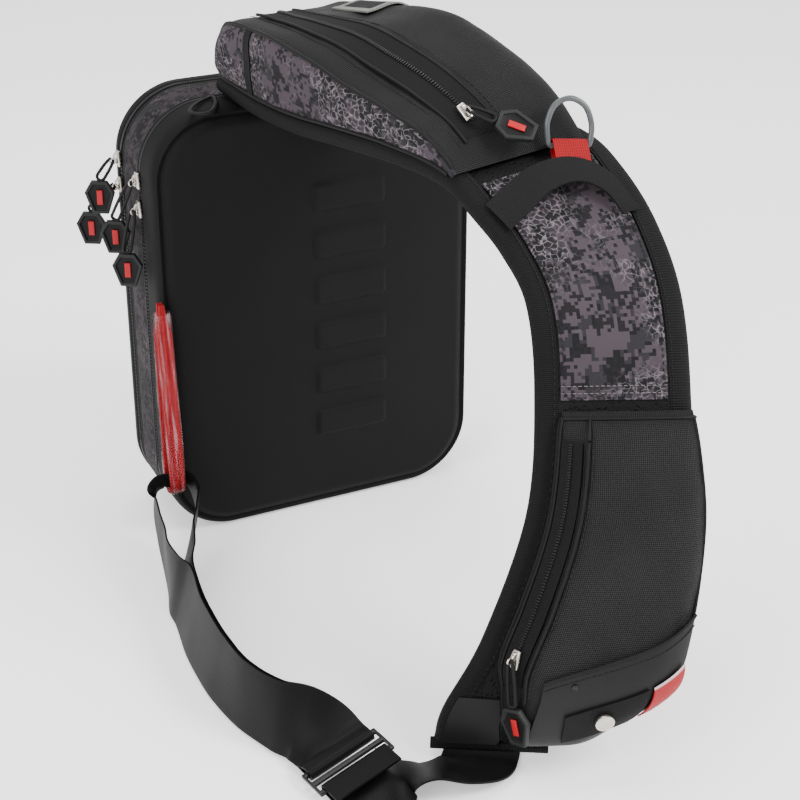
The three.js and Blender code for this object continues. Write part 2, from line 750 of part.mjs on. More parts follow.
// D-ring and the red tab folded round its bar
const RING_AT = 6.4;
const RING_U = 0.46;
const RING_STAND = 9.2;
const TAB_CLEAR = 4 * GAP;
const RING_LEAN = 38;
const bar = onStrap(RING_AT, RING_U * strapAt(RING_AT).half, PAD_HALF + RING_STAND);
const TAB_END = { at: 6.8, u: 0.34, stand: 7.9 };
const tabEnd = onStrap(TAB_END.at, TAB_END.u * strapAt(TAB_END.at).half, PAD_HALF + TAB_END.stand);
const tabDown = tabEnd.clone().sub(bar);
const TAB_REACH = tabDown.length();
tabDown.normalize();
const ringAcross = strapAt(RING_AT).across.clone();
ringAcross.addScaledVector(tabDown, -ringAcross.dot(tabDown)).normalize();
const tabOut = tabDown.clone().cross(ringAcross).normalize();
const ringUp = tabDown
  .clone()
  .multiplyScalar(-Math.cos(degrees(RING_LEAN)))
  .addScaledVector(tabOut, Math.sin(degrees(RING_LEAN)));
const RING_PATH = [
  [-0.44, 0],
  [-0.3, 0],
  [0, 0],
  [0.3, 0],
  [0.44, 0],
  [0.5, 0.2],
  [0.5, 0.5],
  [0.34, 0.85],
  [0, 1],
  [-0.34, 0.85],
  [-0.5, 0.5],
  [-0.5, 0.2],
].map(([x, y]) =>
  bar
    .clone()
    .addScaledVector(ringAcross, x * RING_WIDTH)
    .addScaledVector(ringUp, y * RING_HEIGHT),
);
add("d_ring", hoop(RING_PATH, ringAcross.clone().cross(ringUp), RING_WIRE, RING_WIRE, 24), "grey");
const TAB_FOLD = RING_WIRE / 2 + TAB_CLEAR + TAB_THICKNESS / 2;
const tabPoint = (down, out) => bar.clone().addScaledVector(tabDown, down).addScaledVector(tabOut, out);
const tabStations = [
  [TAB_REACH, TAB_FOLD],
  [0, TAB_FOLD],
  ...[120, 150, 180, 210, 240].map((angle) => [
    TAB_FOLD * Math.cos(degrees(angle)),
    TAB_FOLD * Math.sin(degrees(angle)),
  ]),
  [0, -TAB_FOLD],
  [TAB_REACH, -TAB_FOLD],
].map(([down, out]) => ({ p: tabPoint(down, out), across: ringAcross, width: TAB_WIDTH }));
add("d_ring_tab", ribbon(tabStations, TAB_THICKNESS), "red");

// Strap end: a smooth cover beside the lower pouch and the rolled edge under it
const COVER_FROM = 12.75;
const endCover = (lift) => (at, share) => {
  const half = strapAt(at).half;
  const low = -half + PAD_HALF;
  const high = LOWER(at).left * half - 1.5;
  return onStrap(at, low + (high - low) * share, PAD_HALF + BINDING_THICKNESS + 2 * GAP + lift);
};
add(
  "strap_end_cover",
  sheet(endCover(SKIN), endCover(0), places(COVER_FROM, STRAP_END), steps(0, 1, 2)),
  "binding",
);
const END_ROLL = 8;
const strapEnd = strapAt(STRAP_END);
const rollRing = (u) =>
  steps(0, 360, 8)
    .slice(0, -1)
    .map((angle) => {
      const a = degrees(angle);
      return strapEnd.middle
        .clone()
        .addScaledVector(strapEnd.across, u)
        .addScaledVector(strapEnd.along, END_ROLL / 2 + GAP + (END_ROLL / 2) * Math.cos(a))
        .addScaledVector(strapEnd.out, (END_ROLL / 2) * Math.sin(a));
    });
add("strap_end_roll", loft([-strapEnd.half, strapEnd.half].map(rollRing)), "binding");

// Red loop and its clear sleeve: two legs that part downward and meet in a bend round the webbing
const loopTop = V(-BODY_WIDTH / 2 - 1, BACK_Y - 5.2, LOOP_TOP * BODY_HEIGHT);
const eye = V(loopTop.x, BACK_Y - 13, loopTop.z - LOOP_LENGTH + LOOP_SPREAD / 2);
const LOOP_NARROW = SLEEVE_THICKNESS / 2 + GAP;
const loopLine = [
  [0, -LOOP_NARROW, 0],
  [0.5, -LOOP_SPREAD / 2 + 2, 0],
  [1, -LOOP_SPREAD / 2, 0],
  ...[-45, 0, 45].map((a) => [
    1,
    (LOOP_SPREAD / 2) * Math.sin(degrees(a)),
    (LOOP_SPREAD / 2) * Math.cos(degrees(a)),
  ]),
  [1, LOOP_SPREAD / 2, 0],
  [0.5, LOOP_SPREAD / 2 - 2, 0],
  [0, LOOP_NARROW, 0],
];
const loopPoint = ([share, y, down]) => loopTop.clone().lerp(eye, share).add(V(0, y, -down));
function loopBand(width, thickness, overhang = 0) {
  const points = loopLine.map(loopPoint);
  points[0].z += overhang;
  points[points.length - 1].z += overhang;
  return ribbon(points.map((p) => ({ p, across: V(1, 0, 0), width })), thickness);
}
const SLEEVE_INNER = SLEEVE_THICKNESS - 2 * SLEEVE_WALL;
const RED_STRIP_WIDTH = SLEEVE_WIDTH - 2 * SLEEVE_WALL - 2 * GAP;
add(
  "loop_sleeve",
  cut(
    loopBand(SLEEVE_WIDTH, SLEEVE_THICKNESS),
    loopBand(SLEEVE_WIDTH - 2 * SLEEVE_WALL, SLEEVE_INNER, 1),
  ),
  "clear",
);
add(
  "red_loop",
  loopBand(RED_STRIP_WIDTH, Math.min(RED_STRIP_THICKNESS, SLEEVE_INNER - 2 * GAP), 0.9),
  "red",
);

// Webbing on the floor: along is a share of the line from the strap's end to the loop's eye,
// side a share of WEBBING_BOW off it, lift the height, stand how far the band is turned on edge.
const foot = strapEnd.middle.clone().setZ(0);
const line = eye.clone().setZ(0).sub(foot);
const LINE_LENGTH = line.length();
line.normalize();
const aside = V(-line.y, line.x, 0);
const onFloor = (along, side, lift) =>
  foot
    .clone()
    .addScaledVector(line, along * LINE_LENGTH)
    .addScaledVector(aside, side * WEBBING_BOW)
    .setZ(lift);
const LAYER = WEBBING_THICKNESS / 2 + GAP;
const SNUG = 2 * GAP;
const BAR_LAYER = BAR_THICKNESS / 2 + SNUG + WEBBING_THICKNESS / 2;
const SLIDER_LEAN = 14;
const SLIDER_TURN = -7;
const SLIDER_CLEAR = 3.5;
const SLIDER_Z = (SLIDER_LENGTH / 2) * Math.sin(degrees(SLIDER_LEAN)) + BAR_LAYER + SLIDER_CLEAR;
const SLIDER_AT = { along: 0.123, side: 0.87 };
const sliderMiddle = onFloor(SLIDER_AT.along, SLIDER_AT.side, SLIDER_Z);
const sliderAlong = line.clone().applyAxisAngle(V(0, 0, 1), degrees(SLIDER_TURN));
const sliderAcross = V(sliderAlong.y, -sliderAlong.x, Math.tan(degrees(SLIDER_LEAN))).normalize();
const sliderUp = sliderAcross.clone().cross(sliderAlong);
const BAR_OUT = (SLIDER_SPAN - BAR_WIDTH) / 2;
const FOLD = BAR_WIDTH / 2 + SNUG + WEBBING_THICKNESS / 2;

// The band's turn round one bar of the slider, from one face of it to the other.
function barTurn(side, from) {
  return [
    [-2.3, 1],
    [-1.1, 1],
    [0, 1],
    [0.85, 0.85],
    [1, 0],
    [0.85, -0.85],
    [0, -1],
    [-1.1, -1],
    [-2.3, -1],
  ].map(([out, up]) => ({
    p: sliderMiddle
      .clone()
      .addScaledVector(sliderAlong, side * (BAR_OUT - FOLD * out))
      .addScaledVector(sliderUp, from * BAR_LAYER * up),
    across: sliderAcross,
    width: WEBBING_WIDTH,
    tight: true,
  }));
}

// One station of the webbing: layer is 1 or -1 where two layers lie against each other.
function station({ along, side, lift, stand, yaw, wide = 1, apart = 0 }, layer = 0) {
  const base = Math.atan2(-aside.y, -aside.x) + degrees(yaw);
  const across = V(Math.cos(base), Math.sin(base), 0).multiplyScalar(1 - Math.abs(stand));
  across.add(V(0, 0, stand)).normalize();
  const out = across.clone().cross(V(-Math.sin(base), Math.cos(base), 0)).normalize();
  return {
    p: onFloor(along, side, lift).addScaledVector(out, layer * apart),
    across,
    width: wide * WEBBING_WIDTH,
  };
}

const RUN = [
  { along: 0.201, side: 0.866, lift: 18.5, yaw: -5, stand: 0.36, apart: 2.2 },
  { along: 0.238, side: 0.925, lift: 24.2, yaw: 2, stand: 0.6, apart: 1.4 },
  { along: 0.281, side: 1, lift: 25.5, yaw: 6, stand: 0.8, apart: LAYER },
  { along: 0.377, side: 1.023, lift: 25.6, yaw: -4, stand: 0.85, apart: LAYER },
  { along: 0.478, side: 0.959, lift: 25.6, yaw: -13, stand: 0.82, apart: LAYER },
  { along: 0.548, side: 0.884, lift: 25.6, yaw: -19, stand: 0.81, apart: LAYER },
  { along: 0.629, side: 0.778, lift: 25.6, yaw: -23, stand: 0.8, apart: LAYER },
  { along: 0.727, side: 0.613, lift: 25.6, yaw: -25, stand: 0.79, apart: LAYER },
];
const BACK_STRAND = [
  { along: 0.778, side: 0.583, lift: 25.8, yaw: -25, stand: 0.85, wide: 0.98 },
  { along: 0.841, side: 0.48, lift: 26.5, yaw: -27, stand: 0.97, wide: 0.93 },
  { along: 0.897, side: 0.372, lift: 29, yaw: -27, stand: 0.95, wide: 0.78 },
  { along: 0.962, side: 0.261, lift: 35, yaw: -27, stand: 0.95, wide: 0.58 },
  { along: 1.013, side: 0.164, lift: 46, yaw: -41, stand: 0.95, wide: 0.4 },
  { along: 1.015, side: 0.12, lift: 59.5, yaw: -70, stand: 1, wide: 0.22 },
];
const FRONT_STRAND = [
  { along: 0.987, side: -0.091, lift: 59.5, yaw: -60, stand: 1, wide: 0.22 },
  { along: 0.952, side: -0.078, lift: 50, yaw: -29, stand: 0.92, wide: 0.4 },
  { along: 0.909, side: 0.048, lift: 41, yaw: -44, stand: 0.88, wide: 0.6 },
  { along: 0.871, side: 0.2, lift: 33, yaw: -45, stand: 0.81, wide: 0.8 },
  { along: 0.82, side: 0.366, lift: 27, yaw: -41, stand: 0.75, wide: 0.95 },
  { along: 0.772, side: 0.506, lift: 25.6, yaw: -40, stand: 0.77, wide: 0.98 },
];
const EYE_LIFT = EYE_WEBBING / 2 + SLEEVE_THICKNESS / 2 + SNUG - LOOP_SPREAD / 2;
const inEye = {
  p: eye.clone().add(V(0, 0, EYE_LIFT)),
  across: V(0, 0, 1),
  width: EYE_WEBBING,
};
const loopStations = [
  ...RUN.map((row) => station(row, 1)),
  ...BACK_STRAND.map((row) => station(row)),
  inEye,
  ...FRONT_STRAND.map((row) => station(row)),
  ...RUN.map((row) => station(row, -1)).reverse(),
  ...barTurn(1, -1),
];

// Stations read smoothly, with one more between each two.
function refined(stations, looped) {
  const n = stations.length;
  const at = (i) => stations[looped ? (i + n) % n : Math.min(Math.max(i, 0), n - 1)];
  const out = [];
  for (let i = 0; i < n; i++) {
    out.push(at(i));
    if ((!looped && i === n - 1) || at(i).tight || at(i + 1).tight) continue;
    const mid = (get) =>
      get(at(i)).clone().add(get(at(i + 1))).multiplyScalar(0.5625)
        .addScaledVector(get(at(i - 1)), -0.0625)
        .addScaledVector(get(at(i + 2)), -0.0625);
    out.push({
      p: mid((s) => s.p),
      across: mid((s) => s.across),
      width: (at(i).width + at(i + 1).width) / 2,
    });
  }
  return out;
}
add("webbing_loop", ribbon(refined(loopStations, true), WEBBING_THICKNESS, true), "webbing");

const TAIL = [
  { along: 0.045, side: 0.79, lift: 11, yaw: 20, stand: 0.14 },
  { along: 0.036, side: 0.67, lift: 9.5, yaw: 45, stand: -0.12, wide: 0.92 },
  { along: 0.013, side: 0.531, lift: 11, yaw: 54, stand: -0.31, wide: 0.9 },
  { along: -0.009, side: 0.366, lift: 8, yaw: 74, stand: -0.2, wide: 0.95 },
  { along: -0.013, side: 0.204, lift: 4, yaw: 103, stand: -0.07 },
  { along: 0.011, side: 0.066, lift: 1.6, yaw: 125, stand: 0 },
  { along: 0.033, side: -0.029, lift: 1.6, yaw: 129, stand: 0 },
];
const sewn = sliderMiddle.clone().addScaledVector(sliderAlong, -BAR_OUT - 16);
const tailStations = [
  { p: sewn.addScaledVector(sliderUp, BAR_LAYER), across: sliderAcross, width: WEBBING_WIDTH, tight: true },
  ...barTurn(-1, 1),
  ...TAIL.map((row) => station(row)),
];
add("webbing_tail", ribbon(refined(tailStations, false), WEBBING_THICKNESS), "webbing");

// Bar slider: a flat frame with a middle bar
function plate(length, width, thickness) {
  return new THREE.BoxGeometry(length, width, thickness);
}
const slot = SLIDER_SPAN / 2 - 1.5 * BAR_WIDTH;
const slotAt = (slot + BAR_WIDTH) / 2;
const sliderPlate = [-1, 1].reduce(
  (made, side) =>
    cut(
      made,
      plate(slot, SLIDER_LENGTH - BAR_WIDTH, 2 * BAR_THICKNESS).translate(side * slotAt, 0, 0),
    ),
  plate(SLIDER_SPAN, SLIDER_LENGTH, BAR_THICKNESS),
);
const sliderFrame = new THREE.Matrix4().makeBasis(sliderAlong, sliderAcross.clone().negate(), sliderUp);
sliderPlate.applyMatrix4(sliderFrame.setPosition(sliderMiddle));
add("bar_slider", sliderPlate, "rubber");

// Zip pulls: a slider on its tape, a cord loop and a hexagonal tag with a red bar set in it

const basis = (x, y, z, place) => new THREE.Matrix4().makeBasis(x, y, z).setPosition(place);

function sliderShape() {
  const ring = (inset, height) =>
    [
      [0.5, 0.2],
      [0.25, 0.5],
      [-0.35, 0.5],
      [-0.5, 0.25],
      [-0.5, -0.25],
      [-0.35, -0.5],
      [0.25, -0.5],
      [0.5, -0.2],
    ].map(([x, y]) => V(x * (ZIP_SLIDER_LENGTH - inset), y * (ZIP_SLIDER_WIDTH - inset), height));
  return loft([ring(0, 0), ring(0, 0.6 * ZIP_SLIDER_HEIGHT), ring(2, ZIP_SLIDER_HEIGHT)]);
}

function tagShape() {
  const ring = (inset, height) =>
    [
      [0.5, 0.16],
      [0.26, 0.56],
      [-0.26, 0.56],
      [-0.5, 0.16],
      [-0.26, -0.56],
      [0.26, -0.56],
    ].map(([x, y]) => {
      const size = TAG_ACROSS - 2 * inset;
      return V(x * size, y * size, height);
    });
  const recess = TAG_THICKNESS - 1.6;
  return loft([
    ring(0, 0),
    ring(0, TAG_THICKNESS),
    ring(TAG_RIM, TAG_THICKNESS),
    ring(TAG_RIM, recess),
  ]);
}

// seat is the slider's place on its tape, out the way it stands off, along the zip;
// tag is the middle of the tag, drop the way it hangs, face the way it looks.
function pull(name, { seat, out, along, tag, drop, face }) {
  const side = out.clone().cross(along).normalize();
  const across = drop.clone().cross(face).normalize();
  const slider = sliderShape().applyMatrix4(basis(along, side, out, seat));
  add(name + "_slider", slider, "nickel");
  const back = tag.clone().addScaledVector(face, -TAG_THICKNESS / 2);
  const up = drop.clone().negate();
  const place = basis(across.clone().negate(), up, face, back);
  add(name + "_tag", tagShape().applyMatrix4(place), "rubber");
  const bar = new THREE.BoxGeometry(0.2 * TAG_ACROSS, 0.5 * TAG_ACROSS, 1);
  bar.translate(0, 0, TAG_THICKNESS - 1.6 + GAP + 0.5);
  add(name + "_tag_bar", bar.applyMatrix4(place), "red");
  const top = seat.clone().addScaledVector(out, ZIP_SLIDER_HEIGHT + PULL_CORD / 2 + CORD_SEAT);
  const end = tag.clone().addScaledVector(up, 0.56 * TAG_ACROSS + PULL_CORD / 2 + GAP);
  const run = end.clone().sub(top);
  const broad = run.clone().cross(face).normalize();
  const normal = run.clone().cross(broad).normalize();
  const at = (share, w) => top.clone().addScaledVector(run, share).addScaledVector(broad, w);
  const w = PULL_CORD;
  const points = [
    at(0, 0),
    at(0.12, w),
    at(0.5, 0.8 * w),
    at(0.9, w),
    at(1, 0),
    at(0.9, -w),
    at(0.5, -0.8 * w),
    at(0.12, -w),
  ];
  add(name + "_cord", hoop(points, normal, PULL_CORD, PULL_CORD, 14, 5), "webbing");
}

const LEFT = -BODY_WIDTH / 2;
const OUT_LEFT = V(-1, 0, 0);
const SIDE_PULLS = [
  { name: "back_pull_upper", y: BACK_ZIP_Y + BACK_ZIP_WIDTH / 2, z: 0.84, x: 13, back: 26, hang: 0.69 },
  { name: "back_pull_lower", y: BACK_ZIP_Y + BACK_ZIP_WIDTH / 2, z: 0.775, x: 12, back: 4, hang: 0.635 },
  { name: "front_pull_upper", y: FRONT_ZIP_Y + FRONT_ZIP_WIDTH / 2, z: 0.85, x: 17, back: 2, hang: 0.765 },
  { name: "front_pull_lower", y: FRONT_ZIP_Y + FRONT_ZIP_WIDTH / 2, z: 0.79, x: 20, back: 21, hang: 0.675 },
];
for (const { name, y, z, x, back, hang } of SIDE_PULLS) {
  pull(name, {
    seat: V(LEFT - GAP, y, z * BODY_HEIGHT),
    out: OUT_LEFT,
    along: V(0, 0, 1),
    tag: V(LEFT - x, y + back, hang * BODY_HEIGHT),
    drop: V(0, 0, -1),
    face: V(-0.5, -0.866, 0).normalize(),
  });
}

// The frame of a point on a pouch's skin.
function onSkin(surface, at, share, lift) {
  const step = 0.05;
  const place = surface(-lift)(at, share);
  const along = surface(-lift)(at + step, share).sub(place).normalize();
  const across = surface(-lift)(at, share + step).sub(place).normalize();
  const out = along.clone().cross(across).normalize();
  if (out.dot(strapAt(at).out) < 0) out.negate();
  return { place, along, out };
}

const PULL_LIFT = 3 * LIFT + SKIN;
for (const [name, surface, at, share, reach, tagLift] of [
  ["shoulder_pull", shoulder, 5.5, 0.425, 34, 5],
  ["lower_pull", lower, 12.1, 0.19, 42, 12],
]) {
  const seat = onSkin(surface, at, share, PULL_LIFT);
  const drop = name === "lower_pull" ? V(0.1, -0.25, -1).normalize() : V(0.75, -0.55, -0.3).normalize();
  const face = seat.out.clone().addScaledVector(drop, -seat.out.dot(drop)).normalize();
  pull(name, {
    seat: seat.place,
    out: seat.out,
    along: seat.along.clone().negate(),
    tag: seat.place.clone().addScaledVector(drop, reach).addScaledVector(face, tagLift),
    drop,
    face,
  });
}

// Flat loop puller lying over the back zip at the top left corner
const pullerX = strapMiddle(0).x - strapAt(0).half - PULLER_BESIDE;
const pullerAt = V(pullerX, BACK_Y + 8, BODY_HEIGHT + PULLER_WIRE / 4 + 2 * GAP);
const pullerTurn = degrees(55);
const pullerPath = [
  [0.5, 0],
  [0.3, 0.3],
  [-0.1, 0.5],
  [-0.42, 0.4],
  [-0.5, 0],
  [-0.42, -0.4],
  [-0.1, -0.5],
  [0.3, -0.3],
].map(([x, y]) =>
  V(x * PULLER_LENGTH, y * PULLER_WIDTH, 0).applyAxisAngle(V(0, 0, 1), pullerTurn).add(pullerAt),
);
add("loop_puller", hoop(pullerPath, V(0, 0, 1), PULLER_WIRE, PULLER_WIRE / 2, 20, 6), "rubber");

export default bag;
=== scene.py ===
import math

import bpy
import numpy as np
from mathutils import Matrix, Vector, noise


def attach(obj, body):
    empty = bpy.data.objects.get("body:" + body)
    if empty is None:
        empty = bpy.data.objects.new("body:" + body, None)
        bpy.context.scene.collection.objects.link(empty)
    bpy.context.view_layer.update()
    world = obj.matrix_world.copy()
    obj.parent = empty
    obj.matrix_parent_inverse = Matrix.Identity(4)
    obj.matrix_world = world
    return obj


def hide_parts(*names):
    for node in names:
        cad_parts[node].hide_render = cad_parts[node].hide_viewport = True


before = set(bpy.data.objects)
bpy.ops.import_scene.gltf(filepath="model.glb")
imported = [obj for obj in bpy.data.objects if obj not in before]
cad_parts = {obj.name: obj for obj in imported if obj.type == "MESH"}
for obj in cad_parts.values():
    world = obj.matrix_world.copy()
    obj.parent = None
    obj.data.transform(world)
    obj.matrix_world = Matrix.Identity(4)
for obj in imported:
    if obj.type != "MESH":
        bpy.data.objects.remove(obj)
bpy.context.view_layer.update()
bpy.ops.object.select_all(action="DESELECT")

# Lengths below are in millimetres until a mesh is made; x runs across the back panel, the wearer is at -y.
MM = 0.001


def placed(name, data):
    """A new object in the scene."""
    obj = bpy.data.objects.new(name, data)
    bpy.context.scene.collection.objects.link(obj)
    return obj


def aimed(obj, place, direction):
    """Stands a camera or lamp at a place, in metres, and turns it to look in a direction."""
    obj.location = place
    obj.rotation_mode = "QUATERNION"
    obj.rotation_quaternion = Vector(direction).to_track_quat("-Z", "Y")


# Camera at the photograph's angle
CAMERA_AT = (-0.5151, -1.2430, 0.7490)
CAMERA_LOOKS = (0.3905, 0.8036, -0.4490)
LENS, SENSOR = 82.58, 36
camera_data = bpy.data.cameras.new("camera")
camera_data.sensor_width = SENSOR
camera_data.lens = LENS
camera = placed("camera", camera_data)
aimed(camera, CAMERA_AT, CAMERA_LOOKS)
bpy.context.scene.camera = camera


# Shader maths
class Value:
    """A node's output that can stand in an expression."""

    def __init__(self, finish, socket):
        self.finish = finish
        self.socket = socket

    def maths(self, operation, *others):
        return self.finish.node("ShaderNodeMath", {"operation": operation}, *others)

    def __add__(self, other):
        return self.maths("ADD", self, other)

    def __sub__(self, other):
        return self.maths("SUBTRACT", self, other)

    def __rsub__(self, other):
        return self.maths("SUBTRACT", other, self)

    def __mul__(self, other):
        return self.maths("MULTIPLY", self, other)

    def __gt__(self, other):
        return self.maths("GREATER_THAN", self, other)

    def __abs__(self):
        return self.maths("ABSOLUTE", self)

    __radd__ = __add__
    __rmul__ = __mul__

    def sin(self):
        return self.maths("SINE", self)

    def floor(self):
        return self.maths("FLOOR", self)

    def clip(self):
        return self.finish.node("ShaderNodeClamp", {}, self)

    def step(self, low, high):
        settings = {"interpolation_type": "SMOOTHSTEP"}
        return self.finish.node("ShaderNodeMapRange", settings, self, low, high, 0.0, 1.0)


class Finish:
    """A material that is built up from nodes; constants go straight on its shader."""

    def __init__(self, name, **constants):
        self.material = bpy.data.materials.new(name)
        self.material.use_nodes = True
        self.tree = self.material.node_tree
        self.shader = self.tree.nodes["Principled BSDF"]
        for key, value in constants.items():
            self.shader.inputs[key.replace("_", " ")].default_value = value

    def node(self, kind, settings, *values, out=0, **named):
        made = self.tree.nodes.new(kind)
        for key, value in settings.items():
            setattr(made, key, value)
        pairs = [(made.inputs[i], v) for i, v in enumerate(values) if v is not None]
        pairs += [(made.inputs[k.replace("_", " ")], v) for k, v in named.items()]
        for socket, value in pairs:
            if isinstance(value, Value):
                self.tree.links.new(value.socket, socket)
            else:
                socket.default_value = value
        return Value(self, made.outputs[out])

    def mix(self, share, a, b):
        a, b = [(*c, 1.0) if isinstance(c, tuple) else c for c in (a, b)]
        settings = {"data_type": "RGBA", "clamp_factor": True}
        none = [None] * 5
        return self.node("ShaderNodeMix", settings, share, *none, a, b, out=2)

    def parts(self, where, count):
        """The first coordinates of a place, in millimetres."""
        made = [self.node("ShaderNodeSeparateXYZ", {}, where, out=i) for i in range(count)]
        return [part * (1 / MM) for part in made]

    def place(self):
        return self.node("ShaderNodeTexCoord", {}, out=3)

    def uv(self):
        return self.parts(self.node("ShaderNodeTexCoord", {}, out=2), 2)

    def xyz(self):
        return self.parts(self.place(), 3)

    def rim(self):
        """The share of a rim that surface() wrote on a piece."""
        return self.node("ShaderNodeAttribute", {"attribute_name": "rim"}, out=2)

    def vector(self, x, y, z=0.0):
        return self.node("ShaderNodeCombineXYZ", {}, x, y, z)

    def noise(self, scale, detail=3.0, where=None):
        where = where or self.place()
        return self.node("ShaderNodeTexNoise", {}, Vector=where, Scale=scale, Detail=detail)

    def cells(self, where):
        return self.node("ShaderNodeTexWhiteNoise", {}, Vector=where)

    def edges(self, scale, where):
        settings = {"feature": "DISTANCE_TO_EDGE"}
        return self.node("ShaderNodeTexVoronoi", settings, Vector=where, Scale=scale)

    def bump(self, height, depth, strength=1.0):
        normal = self.node("ShaderNodeBump", {}, Height=height, Distance=depth, Strength=strength)
        self.link("Normal", normal)

    def link(self, socket, value):
        self.tree.links.new(value.socket, self.shader.inputs[socket])


TAU = 2 * math.pi


def linear(r, g, b):
    """A colour given in 0 to 255 as a screen shows it."""
    return tuple(((c / 255 + 0.055) / 1.055) ** 2.4 if c > 10 else c / 255 / 12.92 for c in (r, g, b))


def grey(level):
    return linear(level, level, level)


def wave(x, pitch):
    return (x * (TAU / pitch)).sin()


def shade(finish, dark, light, height, scale=22, rough=(0.6, 0.75)):
    """Colour that follows the cloth's height and a slow mottle, with roughness that follows it too."""
    mottle = finish.noise(scale, 4.0)
    share = (0.55 * height + 0.5 * mottle - 0.02).clip()
    finish.link("Base Color", finish.mix(share, dark, light))
    finish.link("Roughness", rough[0] + (rough[1] - rough[0]) * mottle)


def moulded_foam():
    """Moulded foam under a fine knit."""
    f = Finish("moulded_foam", Specular_IOR_Level=0.14)
    x, y, z = f.xyz()
    knit = wave(x + 0.4 * y, 0.9) * wave(z, 0.9)
    grain = f.noise(900, 2.0)
    height = 0.3 + 0.22 * knit + 0.4 * grain
    shade(f, grey(5), linear(15, 14, 14), height, 14, (0.62, 0.8))
    f.bump(height, 0.00016, 0.6)
    return f.material


def camouflage(name, painted_shade_gain=1.0):
    """Plain digital squares in greys under a loose net of thin pale cracks, printed on a twill; a gain below
    1 darkens it all as painted shade.
    """
    f = Finish(name, Specular_IOR_Level=0.16)
    u, v = f.uv()
    square = 2.3
    column, row = (u * (1 / square)).floor(), (v * (1 / square)).floor()
    cell = f.vector(column, row)
    speck = f.cells(cell)
    middling = (f.noise(0.105, 2.0, cell) + 0.2 * speck) > 0.62
    dark = (f.noise(0.16, 2.0, f.vector(column + 71, row + 23)) + 0.2 * speck) > 0.65
    ground = f.mix(f.noise(9, 2.0), linear(62, 54, 60), linear(82, 73, 80))
    tone = f.mix(0.9 * middling, ground, linear(40, 39, 42))
    tone = f.mix(0.9 * dark, tone, linear(19, 19, 21))
    warped = f.vector(u + 5 * f.noise(140, 2.0), v + 5 * f.noise(170, 2.0))
    net = f.edges(0.25, warped)
    spread = f.noise(17, 2.0).step(0.44, 0.58)
    broken = f.noise(260, 1.0).step(0.36, 0.52)
    tone = f.mix(0.6 * net.step(0.12, 0.22) * spread, tone, linear(17, 17, 19))
    tone = f.mix(0.5 * (1 - net.step(0.02, 0.07)) * spread * broken, tone, linear(160, 152, 158))
    twill = 0.5 + 0.5 * wave(u + v, 1.0) * wave(u - v, 1.3)
    tone = f.mix(0.55 * (1 - twill), tone, linear(14, 13, 15))
    # Painted shade: a gain below 1 mixes the whole print toward near black, for a panel that sits in shadow.
    if painted_shade_gain < 1:
        tone = f.mix(1 - painted_shade_gain, tone, linear(10, 10, 11))
    f.link("Base Color", tone)
    f.link("Roughness", 0.72 + 0.14 * f.noise(30))
    f.bump(twill, 0.00018, 0.55)
    return f.material


def ballistic():
    """Coarse basket weave laid on the bias; the strands' crowns are painted light as glints over the weave's
    dark grain.
    """
    f = Finish("ballistic_weave", Specular_IOR_Level=0.1)
    u, v = f.uv()
    a, b = u + v, u - v
    over = wave(a, 2.6) * wave(b, 2.6)
    strand = abs(wave(a, 1.3)) * 0.5 + abs(wave(b, 1.3)) * 0.5
    height = (0.35 + 0.4 * over + 0.35 * strand).clip()
    mottle = f.noise(26, 4.0)
    # Painted glint: the crowns of the weave are coloured pale, over the dark cloth's own woven grain.
    share = height * height * (0.5 + 0.8 * mottle)
    f.link("Base Color", f.mix(share, grey(1), linear(52, 51, 52)))
    f.link("Roughness", 0.36 + 0.2 * mottle)
    f.bump(height, 0.0005, 0.9)
    return f.material


def smooth_cloth():
    """Flat coated cloth with a faint plain weave."""
    f = Finish("smooth_cloth", Specular_IOR_Level=0.22)
    u, v = f.uv()
    height = 0.5 + 0.25 * wave(u, 0.9) * wave(v, 0.9) + 0.3 * f.noise(120)
    shade(f, grey(7), linear(22, 21, 22), height, 18, (0.42, 0.55))
    f.bump(height, 0.00012, 0.5)
    return f.material


def ribbed(name, along, across, dark, light, depth, rough=(0.6, 0.78)):
    """Ribs across a band, each rib broken into the threads that cross it."""
    f = Finish(name, Specular_IOR_Level=0.13)
    u, v = f.uv()
    rib = 0.5 + 0.5 * wave(v, along)
    thread = 0.5 + 0.5 * wave(u, across)
    height = 0.7 * rib + 0.3 * thread * rib
    shade(f, dark, light, height, 24, rough)
    f.bump(height, depth, 0.8)
    return f.material


def grain(name, dark, light, scale, rough, depth=0.00008, gloss=0.5, **constants):
    """A fine even grain with slow mottling, for rubber, thread, painted and cast pieces."""
    f = Finish(name, Specular_IOR_Level=gloss, **constants)
    fine = f.noise(scale, 2.0)
    shade(f, dark, light, fine, 60, rough)
    f.bump(fine, depth, 0.5)
    return f.material


def red_web():
    """Red webbing: a square grid of ribs with darker gaps."""
    f = Finish("red_web", Specular_IOR_Level=0.2)
    u, v = f.uv()
    height = (0.5 + 0.5 * wave(u, 1.5)) * (0.5 + 0.5 * wave(v, 1.3))
    share = (0.25 + 0.75 * height + 0.25 * f.noise(60) - 0.1).clip()
    f.link("Base Color", f.mix(share, linear(70, 1, 6), linear(180, 2, 14)))
    f.link("Roughness", 0.5 + 0.2 * f.noise(40))
    f.bump(height, 0.0003, 0.8)
    return f.material


